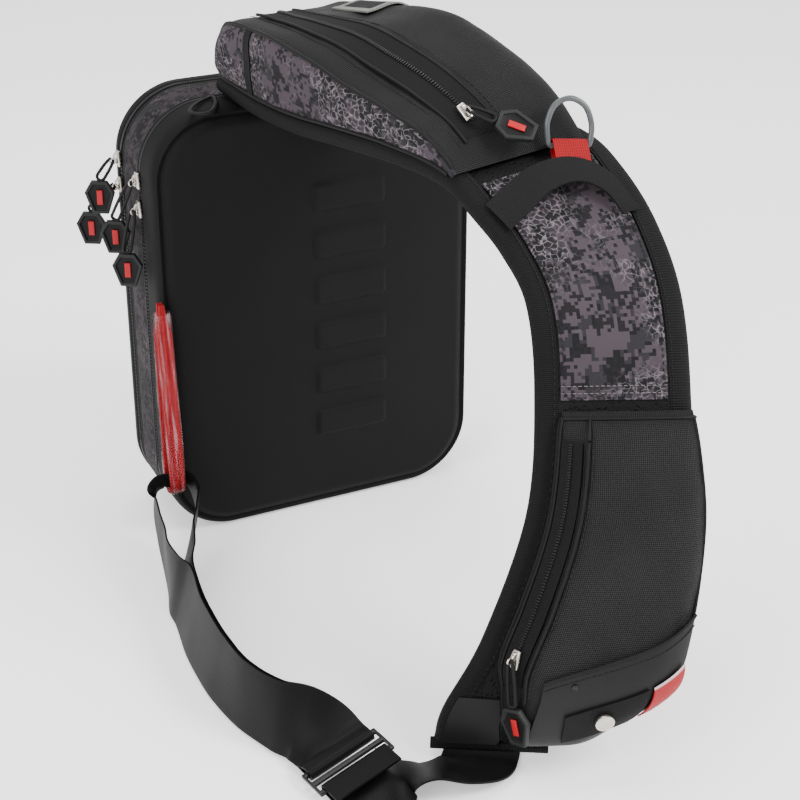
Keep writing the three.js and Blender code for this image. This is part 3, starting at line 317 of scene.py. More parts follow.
def clear_sleeve():
    """Clear soft plastic with faint smears, whose pale pink streaks along the sleeve are painted highlights.
    """
    f = Finish("clear_sleeve", IOR=1.45, Specular_IOR_Level=0.6, Coat_Weight=0.8, Coat_Roughness=0.05)
    u, v = f.uv()
    smear_and_highlight = f.noise(1.0, 2.0, f.vector(0.3 * u, 0.016 * v))
    # Painted highlight: pale pink streaks along the sleeve's length, more opaque where they lie; the smears
    # also make it rougher there.
    f.link("Base Color", f.mix(smear_and_highlight.step(0.4, 0.65), linear(110, 24, 34), linear(206, 160, 168)))
    f.link("Alpha", 0.08 + 0.3 * smear_and_highlight.step(0.5, 0.68))
    f.link("Roughness", 0.05 + 0.12 * smear_and_highlight)
    f.bump(f.noise(90, 2.0), 0.0004, 0.4)
    return f.material


def metal(name, dark, light, rough):
    """Plated metal with fine scratches and dull spots."""
    f = Finish(name, Metallic=1.0)
    x, y, z = f.xyz()
    scratch = f.noise(1.0, 3.0, f.vector(x * 0.25, y * 3.0, z * 3.0))
    dull = f.noise(160, 3.0)
    f.link("Base Color", f.mix(dull, dark, light))
    f.link("Roughness", rough + 0.18 * dull + 0.08 * scratch)
    f.bump(scratch, 0.00004, 0.5)
    return f.material


def badge():
    """A plain patch with a pale woven rim."""
    f = Finish("badge", Specular_IOR_Level=0.2)
    u, v = f.uv()
    rim = f.rim()
    thread = 0.5 + 0.5 * wave(u + v, 1.1)
    inner = f.mix(thread, grey(4), linear(24, 20, 20))
    outer = f.mix(thread, linear(84, 84, 81), linear(140, 140, 136))
    f.link("Base Color", f.mix(rim.step(0.45, 0.55), inner, outer))
    f.link("Roughness", 0.55 + 0.2 * f.noise(60))
    f.bump(thread + rim, 0.0004, 0.6)
    return f.material


def label_cloth():
    """A plain woven red label with a pale top edge."""
    f = Finish("label_cloth", Specular_IOR_Level=0.35)
    u, v = f.uv()
    thread = 0.5 + 0.5 * wave(u, 0.7) * wave(v, 0.7)
    red = f.mix(thread, linear(110, 4, 10), linear(176, 10, 20))
    f.link("Base Color", f.mix(0.8 * f.rim(), red, linear(226, 214, 216)))
    f.link("Roughness", 0.5 + 0.2 * f.noise(80))
    f.bump(thread, 0.0001, 0.6)
    return f.material


def spacer_mesh():
    """Open spacer mesh: small round holes in a dark knit."""
    f = Finish("spacer_mesh", Specular_IOR_Level=0.15)
    holes = f.edges(330, f.place()).step(0.1, 0.45)
    shade(f, grey(1), linear(18, 18, 19), 1 - holes, 24, (0.65, 0.8))
    f.bump(1 - holes, 0.0007, 0.8)
    return f.material


FOAM = moulded_foam()
MESH_PAD = spacer_mesh()
CAMO = camouflage("camouflage")
# The side gusset's print is a darker copy: painted shade for a panel that sits in shadow.
CAMO_PAINTED_SHADE = camouflage("camouflage_gusset_painted_shade", 0.6)
BALLISTIC = ballistic()
SMOOTH = smooth_cloth()
BIND_FINE = ribbed("binding_fine", 1.3, 2.0, grey(2), linear(24, 24, 25), 0.0005)
BIND_COARSE = ribbed("binding_coarse", 1.7, 2.2, grey(2), linear(27, 27, 28), 0.0006)
WEB = ribbed("black_webbing", 1.5, 1.1, grey(1), grey(9), 0.00007, (0.42, 0.58))
WEB_PALE = ribbed("black_grosgrain", 1.3, 1.9, grey(4), linear(28, 27, 28), 0.00025)
TAPE = ribbed("zip_tape", 1.2, 0.9, grey(3), linear(20, 20, 21), 0.00025)
COIL = grain("zip_coil", grey(2), linear(18, 18, 19), 900, (0.35, 0.5), gloss=0.3)
PIPE = grain("edge_piping", grey(3), linear(20, 20, 21), 1100, (0.5, 0.65), 0.00012, 0.18)
THREAD = grain("thread", grey(6), linear(40, 40, 41), 1500, (0.55, 0.7), gloss=0.2)
THREAD_PALE = grain("pale_thread", linear(60, 56, 60), linear(116, 108, 113), 1500, (0.55, 0.7))
RED_WEB = red_web()
CLEAR = clear_sleeve()
RUBBER = grain("tag_rubber", linear(8, 9, 9), linear(32, 34, 34), 500, (0.45, 0.6), 0.0001, 0.25)
# The tag's recess takes a darker copy of the tag's rubber: painted shade in the recess.
RUBBER_PAINTED_SHADE = grain("tag_recess_painted_shade", grey(1), grey(8), 500, (0.5, 0.66), gloss=0.2)
RED_RUBBER = grain("red_rubber", linear(120, 2, 10), linear(190, 8, 24), 400, (0.4, 0.55), gloss=0.3)
CORD = grain("pull_cord", grey(2), linear(22, 22, 23), 1800, (0.55, 0.7), 0.0002, 0.2)
NICKEL = metal("bright_nickel", linear(168, 160, 150), linear(226, 220, 212), 0.14)
SATIN = grain("satin_grey", linear(56, 58, 60), linear(92, 95, 97), 420, (0.3, 0.45), Metallic=0.3)
PLASTIC = grain("slider_plastic", grey(2), linear(14, 14, 15), 600, (0.3, 0.42), gloss=0.35)
BADGE = badge()
LABEL = label_cloth()


# Tables read smoothly
def hermite(at, values, x):
    at, v = np.array(at, float), np.array(values, float)
    order = np.arange(len(at))
    low, high = np.maximum(order - 1, 0), np.minimum(order + 1, len(at) - 1)
    slope = (v[high] - v[low]) / (at[high] - at[low])
    i = np.clip(np.searchsorted(at, x, side="right") - 1, 0, len(at) - 2)
    span = at[i + 1] - at[i]
    t = np.clip((x - at[i]) / span, 0, 1)
    ends = (2 * t**3 - 3 * t**2 + 1) * v[i] + (3 * t**2 - 2 * t**3) * v[i + 1]
    return ends + ((t**3 - 2 * t**2 + t) * slope[i] + (t**3 - t**2) * slope[i + 1]) * span


class Track:
    """A table whose first column is a place; the others are read smoothly between its rows."""

    def __init__(self, names, rows):
        at, *columns = zip(*rows)
        self.fine = np.linspace(at[0], at[-1], 1401)
        self.columns = {n: hermite(at, c, self.fine) for n, c in zip(names.split(), columns)}

    def __call__(self, at):
        return [np.interp(at, self.fine, c) for c in self.columns.values()]


def unit(v):
    return v / np.maximum(np.linalg.norm(v, axis=-1, keepdims=True), 1e-12)


def travelled(points):
    """The length along a line, or along each of several lines, up to each point."""
    step = np.linalg.norm(np.diff(points, axis=0), axis=-1)
    return np.concatenate([0 * step[:1], np.cumsum(step, 0)])


def line_through(points, share):
    """A smooth line through the points of a section, read at shares of it."""
    n = len(points)
    table = np.array([[np.broadcast_to(c, share.shape) for c in p] for p in points])
    x = share * (n - 1)
    i = np.minimum(x.astype(int), n - 2)
    t = x - i

    def at(k):
        return np.take_along_axis(table, np.clip(i + k, 0, n - 1)[None, None], 0)[0]

    a, b, d, e = at(-1), at(0), at(1), at(2)
    return b + 0.5 * t * (d - a + t * (2 * a - 5 * b + 4 * d - e + t * (3 * (b - d) + e - a)))


# Mesh tools
def dressed(name):
    """A finished piece's name, apart from that of the solid it may stand for."""
    return name + "_dressed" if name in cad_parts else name


def settle(obj, name, material, body="bag", angle=40, stands_for=None):
    """Names and shades a finished piece, seats it on its body and hides the solid it stands for."""
    obj.name = dressed(name)
    obj.data.name = obj.name
    obj.data.materials.clear()
    obj.data.materials.append(material)
    bpy.ops.object.select_all(action="DESELECT")
    obj.select_set(True)
    bpy.context.view_layer.objects.active = obj
    bpy.ops.object.shade_smooth_by_angle(angle=math.radians(angle))
    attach(obj, body)
    node = stands_for or name
    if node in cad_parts:
        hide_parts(node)
    obj.select_set(False)
    return obj


def modify(obj, kind, **settings):
    bpy.context.view_layer.objects.active = obj
    modifier = obj.modifiers.new(kind.lower(), kind)
    for key, value in settings.items():
        setattr(modifier, key, value)
    bpy.ops.object.modifier_apply(modifier=modifier.name)


def select_faces(obj, test):
    """Selects only the faces whose centre and normal pass a test."""
    for element in (*obj.data.edges, *obj.data.vertices):
        element.select = False
    for face in obj.data.polygons:
        face.select = bool(test(face.center, face.normal))


def edit(obj, *steps, faces=None):
    """Runs operators in edit mode on a whole mesh, or on the faces that pass a test."""
    bpy.ops.object.select_all(action="DESELECT")
    obj.select_set(True)
    bpy.context.view_layer.objects.active = obj
    if faces:
        select_faces(obj, faces)
        bpy.context.scene.tool_settings.mesh_select_mode = (False, False, True)
    bpy.ops.object.mode_set(mode="EDIT")
    if not faces:
        bpy.ops.mesh.select_all(action="SELECT")
    for step in steps:
        step()
    bpy.ops.object.mode_set(mode="OBJECT")
    obj.select_set(False)


def merge():
    bpy.ops.mesh.remove_doubles(threshold=0.02 * MM)


def outward():
    bpy.ops.mesh.normals_make_consistent(inside=False)


def cap_ends():
    bpy.ops.mesh.fill_holes(sides=0)


def inset(thickness, depth):
    """A step that insets the chosen faces and sinks or raises them."""
    return lambda: bpy.ops.mesh.inset(thickness=thickness * MM, depth=depth * MM)


def of_vertices(obj, what="co"):
    """A mesh's vertices' places, in metres, or their normals."""
    flat = np.zeros(len(obj.data.vertices) * 3)
    obj.data.vertices.foreach_get(what, flat)
    return flat.reshape(-1, 3)


def lay(obj, flat):
    """Lays the cloth: each vertex's flat place, in millimetres, becomes the mesh's UV map."""
    corner = np.zeros(len(obj.data.loops), int)
    obj.data.loops.foreach_get("vertex_index", corner)
    obj.data.uv_layers.active.data.foreach_set("uv", (flat[corner] * MM).ravel())


def grid(rows, columns):
    """A flat grid with the row and column of each of its vertices."""
    bpy.ops.mesh.primitive_grid_add(x_subdivisions=columns, y_subdivisions=rows, size=1)
    obj = bpy.context.object
    flat = of_vertices(obj) + 0.5
    column = np.rint(flat[:, 0] * columns).astype(int)
    row = np.rint(flat[:, 1] * rows).astype(int)
    return obj, row, column


def put(obj, points):
    obj.data.vertices.foreach_set("co", (points * MM).ravel())
    obj.data.update()


def crumpled(points, normals, depth, size, seed):
    """Points moved along their normals by a slow noise."""
    offset = Vector((seed * 13.7, seed * 5.1, seed * 9.3))
    amount = []
    for p in map(Vector, points):
        amount.append(noise.noise(p / size + offset) + 0.4 * noise.noise(p * 2.3 / size))
    return points + normals * (depth * np.array(amount))[:, None]


def surface(place, rows, columns, wall, crumple=None, closed=False, rim=None):
    """A cloth wall on a surface: place(s, t, inset) gives its points for shares along and across."""
    obj, row, column = grid(rows, columns)
    s, t = row / rows, column / columns
    points = place(s, t, 0.0)
    inward = unit(place(s, t, 1.0) - points)
    if crumple:
        fade = np.minimum(np.minimum(s, 1 - s), np.minimum(t, 1 - t) if not closed else 1) * 8
        moved = crumpled(points, -inward, *crumple)
        points = points + (moved - points) * np.clip(fade, 0, 1)[:, None]
    put(obj, points)
    table = np.zeros((rows + 1, columns + 1, 3))
    table[row, column] = points
    u = travelled(table.swapaxes(0, 1)).T
    v = travelled(table[:, columns // 2])
    if not closed:
        u = u - u[:, [columns // 2]]
    lay(obj, np.stack([u[row, column], v[row]], 1))
    if rim is not None:
        attribute = obj.data.attributes.new("rim", "FLOAT", "POINT")
        attribute.data.foreach_set("value", rim(s, t).astype(np.float32))
    if (of_vertices(obj, "normal") * inward).sum() > 0:
        edit(obj, bpy.ops.mesh.flip_normals)
    if closed:
        edit(obj, merge)
    if wall:
        modify(obj, "SOLIDIFY", thickness=wall * MM, offset=-1.0)
    return obj


def sweep(points, across, profile, closed=False):
    """A closed profile of (across, normal) offsets, or one for each point, carried along a line."""
    points, across = np.array(points, float), np.array(across, float)
    profile = np.array(profile, float)
    n, m = len(points), profile.shape[-2]
    profile = np.broadcast_to(profile, (n, m, 2))
    if closed:
        tangent = np.roll(points, -1, 0) - np.roll(points, 1, 0)
    else:
        tangent = np.gradient(points, axis=0)
    tangent = unit(tangent)
    flat = unit(across - tangent * (across * tangent).sum(1, keepdims=True))
    normal = np.cross(tangent, flat)
    rings = points[:, None] + flat[:, None] * profile[..., :1] + normal[:, None] * profile[..., 1:]
    obj, row, column = grid(n if closed else n - 1, m)
    put(obj, rings[row % n, column % m])
    length = travelled(np.concatenate([points, points[:1]]))
    girth = travelled(np.concatenate([profile[0], profile[0, :1]]))
    lay(obj, np.stack([girth[column], length[row]], 1))
    edit(obj, *((merge, outward) if closed else (merge, cap_ends, outward)))
    return obj


def oval(wide, thick, count=10):
    a = np.arange(count) * TAU / count
    return np.stack([wide / 2 * np.cos(a), thick / 2 * np.sin(a)], 1)


def strip(wide, thick, count=6):
    """The section of a flat band, a little thicker at its two selvedges."""
    x = np.linspace(-0.5, 0.5, count + 1) * wide
    y = np.full(count + 1, thick / 2)
    y[[0, -1]] *= 0.75
    top = np.stack([x, y], 1)
    return np.concatenate([top, -top])


def resampled(points, count, closed=False):
    points = np.array(points, float)
    if closed:
        points = np.concatenate([points[-3:], points, points[:4]])
    at = travelled(points[:, :3])
    low, high = (at[3], at[-4]) if closed else (at[0], at[-1])
    x = np.linspace(low, high, count + 1)[: count if closed else None]
    return np.stack([hermite(at, c, x) for c in points.T], 1)


def tube(points, radius, closed=False, sides=8):
    """A round cord through points."""
    points = np.array(points, float)
    tangent = np.gradient(points, axis=0)
    across = unit(np.cross(tangent, np.array([0.31, 0.52, 0.79])))
    return sweep(points, across, oval(2 * radius, 2 * radius, sides), closed)


def primitive(kind, **settings):
    bpy.ops.object.select_all(action="DESELECT")
    getattr(bpy.ops.mesh, f"primitive_{kind}_add")(**settings)
    return bpy.context.object


def scattered(template, places, axes):
    """One mesh of copies of a small template; each copy stands at a place on its three axes."""
    verts = np.array([v.co for v in template.data.vertices])
    faces = [tuple(p.vertices) for p in template.data.polygons]
    copies = np.array(places)[:, None] * MM + np.einsum("vk,nkj->nvj", verts, np.array(axes))
    every = [tuple(i + k * len(verts) for i in face) for k in range(len(places)) for face in faces]
    bpy.data.objects.remove(template)
    mesh = bpy.data.meshes.new("scattered")
    mesh.from_pydata(copies.reshape(-1, 3).tolist(), [], every)
    return placed("scattered", mesh)


def block(x, y, z, lift=0.0):
    """A box of a size in millimetres, with its middle lifted off the origin."""
    obj = primitive("cube", size=1)
    edit(obj, lambda: bpy.ops.transform.resize(value=(x * MM, y * MM, z * MM)),
         lambda: bpy.ops.transform.translate(value=(0, 0, lift * MM)))
    return obj


def tooth(length, width, height):
    obj = block(length, width, height)
    edit(obj, lambda: bpy.ops.mesh.bevel(offset=0.25 * height * MM, segments=1))
    return obj


STITCH_LENGTH, STITCH_RADIUS, STITCH_PITCH, STITCH_LIFT = 2.3, 0.32, 3.3, 0.25


def stitch():
    obj = primitive("cylinder", vertices=6, radius=STITCH_RADIUS * MM, depth=STITCH_LENGTH * MM,
                    rotation=(0, math.pi / 2, 0))
    bpy.ops.object.transform_apply(location=False, rotation=True, scale=False)
    return obj


def frames_along(points, outs):
    """Axes at points: x along the line, y beside it, z outward."""
    along = unit(np.gradient(points, axis=0))
    outs = unit(outs - along * (outs * along).sum(1, keepdims=True))
    return np.stack([along, np.cross(outs, along), outs], 1)


def stitched(name, line, material=THREAD):
    """A row of stitches on a line: line(x) gives a point and the way out for shares along it."""
    points, outs = line(np.linspace(0, 1, 200))
    count = max(int(travelled(points)[-1] / STITCH_PITCH), 2)
    points, outs = line(np.linspace(0, 1, count))
    obj = scattered(stitch(), points + unit(outs) * STITCH_LIFT, frames_along(points, outs))
    return settle(obj, name, material)


TOOTH_HEIGHT = 1.2


def toothed(name, line, pitch, length, closed=False):
    """Coil teeth set across a line."""
    points, outs = line(np.linspace(0, 1, 300))
    count = int(travelled(points)[-1] / pitch)
    points, outs = line(np.linspace(0, 1, count + 1)[: count if closed else None])
    obj = scattered(tooth(0.62 * pitch, length, TOOTH_HEIGHT), points, frames_along(points, outs))
    return settle(obj, name, COIL)


# Body
BODY_WIDTH, BODY_HEIGHT, CORNER = 260, 344, 52
BACK_Y, BACK_ZIP_Y, GUSSET_Y, FRONT_ZIP_Y, FRONT_Y = -43, -16, -9, 24, 38
GAP = 0.3


def body_ring(share, inset, y):
    """Points of a rounded upright rectangle; share runs once round it."""
    radius = np.maximum(CORNER - inset, 0.005)
    side = np.maximum(BODY_WIDTH / 2 - inset - radius, 0.0)
    tall = np.maximum(BODY_HEIGHT / 2 - inset - radius, 0.0)
    a = share * TAU
    quarter = np.floor(share * 4 + 1e-9) % 4
    # Each quarter turn is a corner followed by a straight run.
    local = share * 4 - np.floor(share * 4 + 1e-9)
    turn = np.minimum(local / 0.45, 1) * math.pi / 2
    run = np.clip((local - 0.45) / 0.55, 0, 1)
    angle = quarter * math.pi / 2 + turn
    signs = np.array([[1, 1], [-1, 1], [-1, -1], [1, -1]])
    here = signs[quarter.astype(int)]
    after = signs[(quarter.astype(int) + 1) % 4]
    centre = here * (1 - run)[:, None] + after * run[:, None]
    x = centre[:, 0] * side + radius * np.cos(angle)
    z = centre[:, 1] * tall + radius * np.sin(angle) + BODY_HEIGHT / 2
    return np.stack([x, np.broadcast_to(y, x.shape), z], 1)


RING_STEPS = 224


def body_band(profile, rows, wall, inward, crumple=None):
    """A band round the body through (inset, y) rows, with its wall inside."""
    profile = resampled([(*p, 0) for p in profile], rows)[:, :2]

    def place(s, t, inset):
        i = np.rint(s * rows).astype(int)
        return body_ring(t, profile[i, 0] + inset * inward[0], profile[i, 1] + inset * inward[1])

    return surface(place, rows, RING_STEPS, wall, crumple=crumple, closed=True)


def swell(x, z, inset):
    """How far the middle of a panel stands out, from 0 at its edge to 1."""
    across = np.clip(1 - (np.abs(x) / (BODY_WIDTH / 2 - inset)) ** 2.4, 0, 1)
    return across * np.clip(1 - (np.abs(z - BODY_HEIGHT / 2) / (BODY_HEIGHT / 2 - inset)) ** 2.4, 0, 1)


def domed(obj, level, rise, inset, wall, wrinkle=0.0):
    """Swells the flat middle of a body panel, lays its cloth straight and gives it its wall."""
    edit(obj, merge)
    points = of_vertices(obj) / MM
    side = np.sign(level)
    inside = points[:, 1] * side > level * side
    share = swell(points[:, 0], points[:, 2], inset)
    fold = crumpled(points, np.array([[0, 1.0, 0]]), wrinkle, 70, 2)[:, 1] - points[:, 1]
    swollen = level + side * rise * share + fold * np.minimum(4 * share, 1)
    points[:, 1] = np.where(inside, swollen, points[:, 1])
    put(obj, points)
    lay(obj, points[:, [0, 2]])
    modify(obj, "SOLIDIFY", thickness=wall * MM, offset=-1.0)


# A panel's (inset, y) profile runs from its zip to its middle.
# The rows past its dome's level only space the rings.
BACK_LEVEL, BACK_RISE, BACK_INSET = -46.2, 4.1, 13
back_profile = [(0, BACK_ZIP_Y - GAP), (0, -28), (0.3, BACK_Y + 7), (1.6, BACK_Y + 2.6),
                (3.8, BACK_Y + 0.3), (4.8, BACK_Y + 1.4), (5.6, BACK_Y + 2.8), (6.6, BACK_Y + 1.6),
                (8.4, BACK_Y - 0.6), (BACK_INSET, BACK_LEVEL), (20.8, -48), (32, -48.9), (44, -49.4),
                (72.8, -50), (100, -50.2), (130, -50.3)]
back_panel = body_band(back_profile, 70, wall=0, inward=(0.5, 1.0))
domed(back_panel, BACK_LEVEL, BACK_RISE, BACK_INSET, 3.0)
settle(back_panel, "back_panel", FOAM)

# Soft raised bars on the back panel
RIBS, RIB_LENGTH, RIB_HEIGHT, RIB_PITCH, RIB_SIDE, RIB_PROUD = 6, 64, 26, 38, 22, 2.6
RIB_CORNER, RIB_SLOPE, RIB_SUNK = 6, 5, 0.35


def rib(level):
    """A bar that rises smoothly out of the panel, its edge just under the panel's face."""
    def place(s, t, inset):
        x, z = (s - 0.5) * RIB_LENGTH, (t - 0.5) * RIB_HEIGHT
        out_x = np.maximum(np.abs(x) - RIB_LENGTH / 2 + RIB_CORNER, 0)
        out_z = np.maximum(np.abs(z) - RIB_HEIGHT / 2 + RIB_CORNER, 0)
        depth = np.clip((RIB_CORNER - np.hypot(out_x, out_z)) / RIB_SLOPE, 0, 1)
        x, z = x + RIB_SIDE, z + level + BODY_HEIGHT / 2
        face = BACK_LEVEL - BACK_RISE * swell(x, z, BACK_INSET)
        y = face + RIB_SUNK - (RIB_PROUD + RIB_SUNK) * (3 - 2 * depth) * depth**2 + inset
        return np.stack([x, y, z], 1)

    return surface(place, 64, 30, 0)


for i in range(RIBS):
    level = (i - (RIBS - 1) / 2) * RIB_PITCH
    settle(rib(level), f"back_panel_rib_{i}", FOAM, angle=80)

gusset_profile = [(0.4, GUSSET_Y), (-0.2, -3), (-0.6, 7), (-0.2, 18), (0.4, FRONT_ZIP_Y - GAP)]
gusset = body_band(gusset_profile, 16, wall=2.0, inward=(1.0, 0.0), crumple=(0.7, 38, 1))
# The side gusset takes the darkened print, which is painted shade.
settle(gusset, "side_gusset", CAMO_PAINTED_SHADE)

FRONT_LEVEL, FRONT_RISE, FRONT_INSET = 46.4, 5.1, 10
front_profile = [(1, FRONT_Y + GAP), (0, 39.4), (0, 41), (2, 43.4), (FRONT_INSET, 46.6), (28, 49.2),
                 (65, 51), (100, 51.4), (130, 51.5)]
front_panel = body_band(front_profile, 40, wall=0, inward=(0.5, -1.0))
domed(front_panel, FRONT_LEVEL, FRONT_RISE, FRONT_INSET, 2.0, wrinkle=1.0)
settle(front_panel, "front_panel", BALLISTIC)


def ring_line(inset, y):
    def line(x):
        points = body_ring(x % 1.0, inset, y)
        return points, points - body_ring(x % 1.0, inset + 5, y)
    return line


for name, start, end in (
        ("back_zip_tape", BACK_ZIP_Y, GUSSET_Y - GAP),
        ("front_zip_tape", FRONT_ZIP_Y, FRONT_Y - GAP)):
    middle = (start + end) / 2
    tape_profile = [(1.0, start), (1.2, middle - 2), (1.2, middle + 2), (1.0, end)]
    tape = body_band(tape_profile, 8, wall=1.2, inward=(1.0, 0.0))
    settle(tape, name, TAPE)
    toothed(name + "_coil", ring_line(0.9, middle), 1.9, 3.2, closed=True)

ring_share = np.arange(320) / 320
for name, sunk, y, radius in (
        ("back_piping", 1.3, GUSSET_Y - 0.4, 1.5),
        ("middle_piping", 1.3, FRONT_ZIP_Y - 0.2, 1.5),
        ("front_piping", 1.8, FRONT_Y - 0.2, 2.0),
        ("back_edge", 1.3, BACK_ZIP_Y - 0.6, 1.3)):
    piping = tube(body_ring(ring_share, sunk, y), radius, closed=True)
    settle(piping, name, PIPE, angle=60)

# Strap: its middle line from the body's top over the arch down to the floor
STRAP_WIDTH, STRAP_REACH, STRAP_SWAY, STRAP_RISE, PAD = 117, 360, 66, 10, 11
BIND_FACE, BIND = 13, 1.3
PAD_HALF = PAD / 2
ROOT_Z = BODY_HEIGHT + PAD_HALF + BIND + 2 * GAP
STRAP = Track("reach sway stand rise wide yaw bank", [
    (0, -0.094, -0.14, 1, 0, 0.96, 0, 0),
    (1, 0, -0.12, 1, 0.02, 0.975, 0, 0),
    (2, 0.111, -0.09, 1, 0.1, 0.99, 0, 0),
    (3, 0.236, 0.03, 1, 0.4, 1, 0, 2),
    (4, 0.361, 0.21, 1, 0.78, 1, 0, 3),
    (5, 0.494, 0.45, 1, 0.98, 1, 1, 4),
    (6, 0.6, 0.71, 1, 0.36, 0.975, 2, 5),
    (7, 0.683, 0.83, 0.968, 0, 0.925, -2, 9),
    (8, 0.756, 0.95, 0.902, 0, 0.89, -11, 6),
    (9, 0.82, 1.04, 0.802, 0, 0.86, -19, 1),
    (10, 0.878, 0.99, 0.645, 0, 0.86, -24, 0),
    (11, 0.947, 0.77, 0.4425, 0, 0.9, -26, 1),
    (12, 0.989, 0.2, 0.217, 0, 0.905, -28, -4),
    (13, 0.984, -0.33, 0.0914, 0, 0.79, -29, -2),
    (14, 0.978, -0.54, 0.034, 0, 0.66, -30, 0),
])

STRAP_END = 14
PLACES = np.linspace(0, STRAP_END, 1401)


def strap_middle(at):
    reach, sway, stand, rise = STRAP(at)[:4]
    z = stand * ROOT_Z + rise * STRAP_RISE
    return np.stack([sway * STRAP_SWAY, BACK_Y - reach * STRAP_REACH, z], 1)


def strap_frame():
    wide, yaw, bank = STRAP(PLACES)[4:]
    yaw, bank = np.radians(yaw), np.radians(bank)
    step = 0.02
    ahead, behind = np.minimum(PLACES + step, STRAP_END), np.maximum(PLACES - step, 0)
    along = unit(strap_middle(ahead) - strap_middle(behind))
    across = np.stack([np.cos(yaw) * np.cos(bank), np.sin(yaw) * np.cos(bank), np.sin(bank)], 1)
    return strap_middle(PLACES), along, across, unit(np.cross(along, across)), wide * STRAP_WIDTH / 2


MIDDLE, ALONG, ACROSS, OUT, HALF = strap_frame()


def read(table, at):
    return np.stack([np.interp(at, PLACES, column) for column in table.T], 1)


def half_at(at):
    return np.interp(at, PLACES, HALF)


def on_strap(at, u, v):
    """Points beside the strap: u across it, v out of it."""
    at = np.atleast_1d(np.asarray(at, float))
    u, v = np.broadcast_to(u, at.shape), np.broadcast_to(v, at.shape)
    return read(MIDDLE, at) + read(ACROSS, at) * u[:, None] + read(OUT, at) * v[:, None]


def on_chord(at, u, v):
    """The same between places half a step apart, where the solids run straight."""
    low = math.floor(at * 2) / 2
    a, b = on_strap([low, low + 0.5], u, v)
    return a + (b - a) * (at - low) * 2


def spread(s, low, high):
    return low + (high - low) * s


PAD_EDGE = BIND + GAP
POUCH_BASE = PAD_HALF + BIND + 2 * GAP
LIFT = 2 * GAP


PAD_VOXEL, PAD_PRESSURE, PAD_FRAMES, PAD_MOST = 4.5, 4.0, 14, 1.3


def padded_strap():
    """The foam pad, swollen by cloth under pressure between its bound edges."""
    obj = placed("strap_pad_soft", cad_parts["strap_pad"].data.copy())
    edit(obj, merge, outward)
    modify(obj, "REMESH", mode="VOXEL", voxel_size=PAD_VOXEL * MM)
    modify(obj, "SMOOTH", factor=0.5, iterations=6)
    before = of_vertices(obj)
    cloth = obj.modifiers.new("cloth", "CLOTH")
    cloth.settings.use_pressure = True
    cloth.settings.uniform_pressure_force = PAD_PRESSURE
    cloth.settings.effector_weights.gravity = 0.0
    scene = bpy.context.scene
    for number in range(1, PAD_FRAMES + 1):
        scene.frame_set(number)
    bpy.context.view_layer.objects.active = obj
    bpy.ops.object.modifier_apply(modifier=cloth.name)
    scene.frame_set(1)
    move = of_vertices(obj) - before
    far = np.linalg.norm(move, axis=1, keepdims=True)
    move *= np.minimum(1, PAD_MOST * MM / np.maximum(far, 1e-9))
    obj.data.vertices.foreach_set("co", (before + move).ravel())
    modify(obj, "SUBSURF", levels=1, render_levels=1)
    settle(obj, "strap_pad_soft", MESH_PAD, angle=80, stands_for="strap_pad")


padded_strap()


def binding(side):
    face = BIND_FACE - PAD_HALF

    def place(s, t, inset):
        at = s * STRAP_END
        r = PAD_HALF + GAP + BIND - inset
        turn = (np.clip((t - 0.3) / 0.4, 0, 1) + 0.5) * math.pi
        flat = np.clip(np.abs(t - 0.5) - 0.2, 0, 1) / 0.3 * face
        u = half_at(at) - PAD_EDGE - PAD_HALF - np.cos(turn) * r - flat
        return on_strap(at, side * u, np.sin(turn) * r)

    return surface(place, 300, 20, BIND)


for name, side, material in (("strap_binding_inner", -1, BIND_FINE), ("strap_binding_outer", 1, BIND_COARSE)):
    settle(binding(side), name, material, angle=60)

    def edge_line(x, side=side):
        at = x * STRAP_END
        u = half_at(at) - BIND_FACE - PAD_EDGE + 2.2
        return on_strap(at, side * u, PAD_HALF + GAP + BIND), read(OUT, at)

    stitched(name + "_thread", edge_line)


# Pouches
def pouch(at, section, share, rise, inset):
    half = half_at(at)
    u, v = line_through(section, share)
    heart = 0.3 * rise
    up = 1 - np.minimum(inset / (0.7 * rise), 0.5)
    return on_strap(at, u * (1 - inset / half), POUCH_BASE + heart + (v - heart) * up)


SHOULDER_HEIGHT = 64
SHOULDER = Track("left crest bulge outer", [
    (0, 0.04, 0.07, -0.06, -0.05),
    (0.2, 0.4, 0.5, 0.08, 0),
    (0.6, 0.64, 0.72, 0.13, 0),
    (1.1, 0.72, 0.8, 0.1, 0),
    (1.75, 0.74, 0.86, 0.03, 0.02),
    (2.6, 0.74, 0.92, 0.02, 0.06),
    (3.5, 0.64, 0.96, 0.02, 0.08),
    (4.3, 0.46, 0.84, 0.02, 0.02),
    (5, 0.34, 0.62, 0.01, -0.07),
    (5.5, 0.26, 0.4, 0, -0.14),
    (5.9, 0.13, 0.19, 0, -0.2),
    (6.2, 0.03, 0.04, 0, -0.24),
])
SHOULDER_SEAM, SHOULDER_TIP, GUSSET_SHARE = 1.75, 6.2, 2 / 7


def shoulder(at, share, inset=0.0):
    at = np.atleast_1d(np.asarray(at, float))
    share = np.broadcast_to(share, at.shape)
    left, crest, bulge, outer = SHOULDER(at)
    half = half_at(at)
    left, crest = left * SHOULDER_HEIGHT, crest * SHOULDER_HEIGHT
    bulge, outer = bulge * half, outer * half
    section = [
        (-half + 2, 0 * at),
        (-half + 2 - bulge, 0.45 * left),
        (-half + 5 - 0.5 * bulge, left),
        (-0.35 * half, left + 0.55 * (crest - left)),
        (0.25 * half, 0.97 * crest),
        (0.65 * half + 0.5 * outer, crest),
        (half + outer, 0.6 * crest),
        (half - 2 + np.minimum(outer, 0), 0 * at),
    ]
    return pouch(at, section, share, crest, inset)


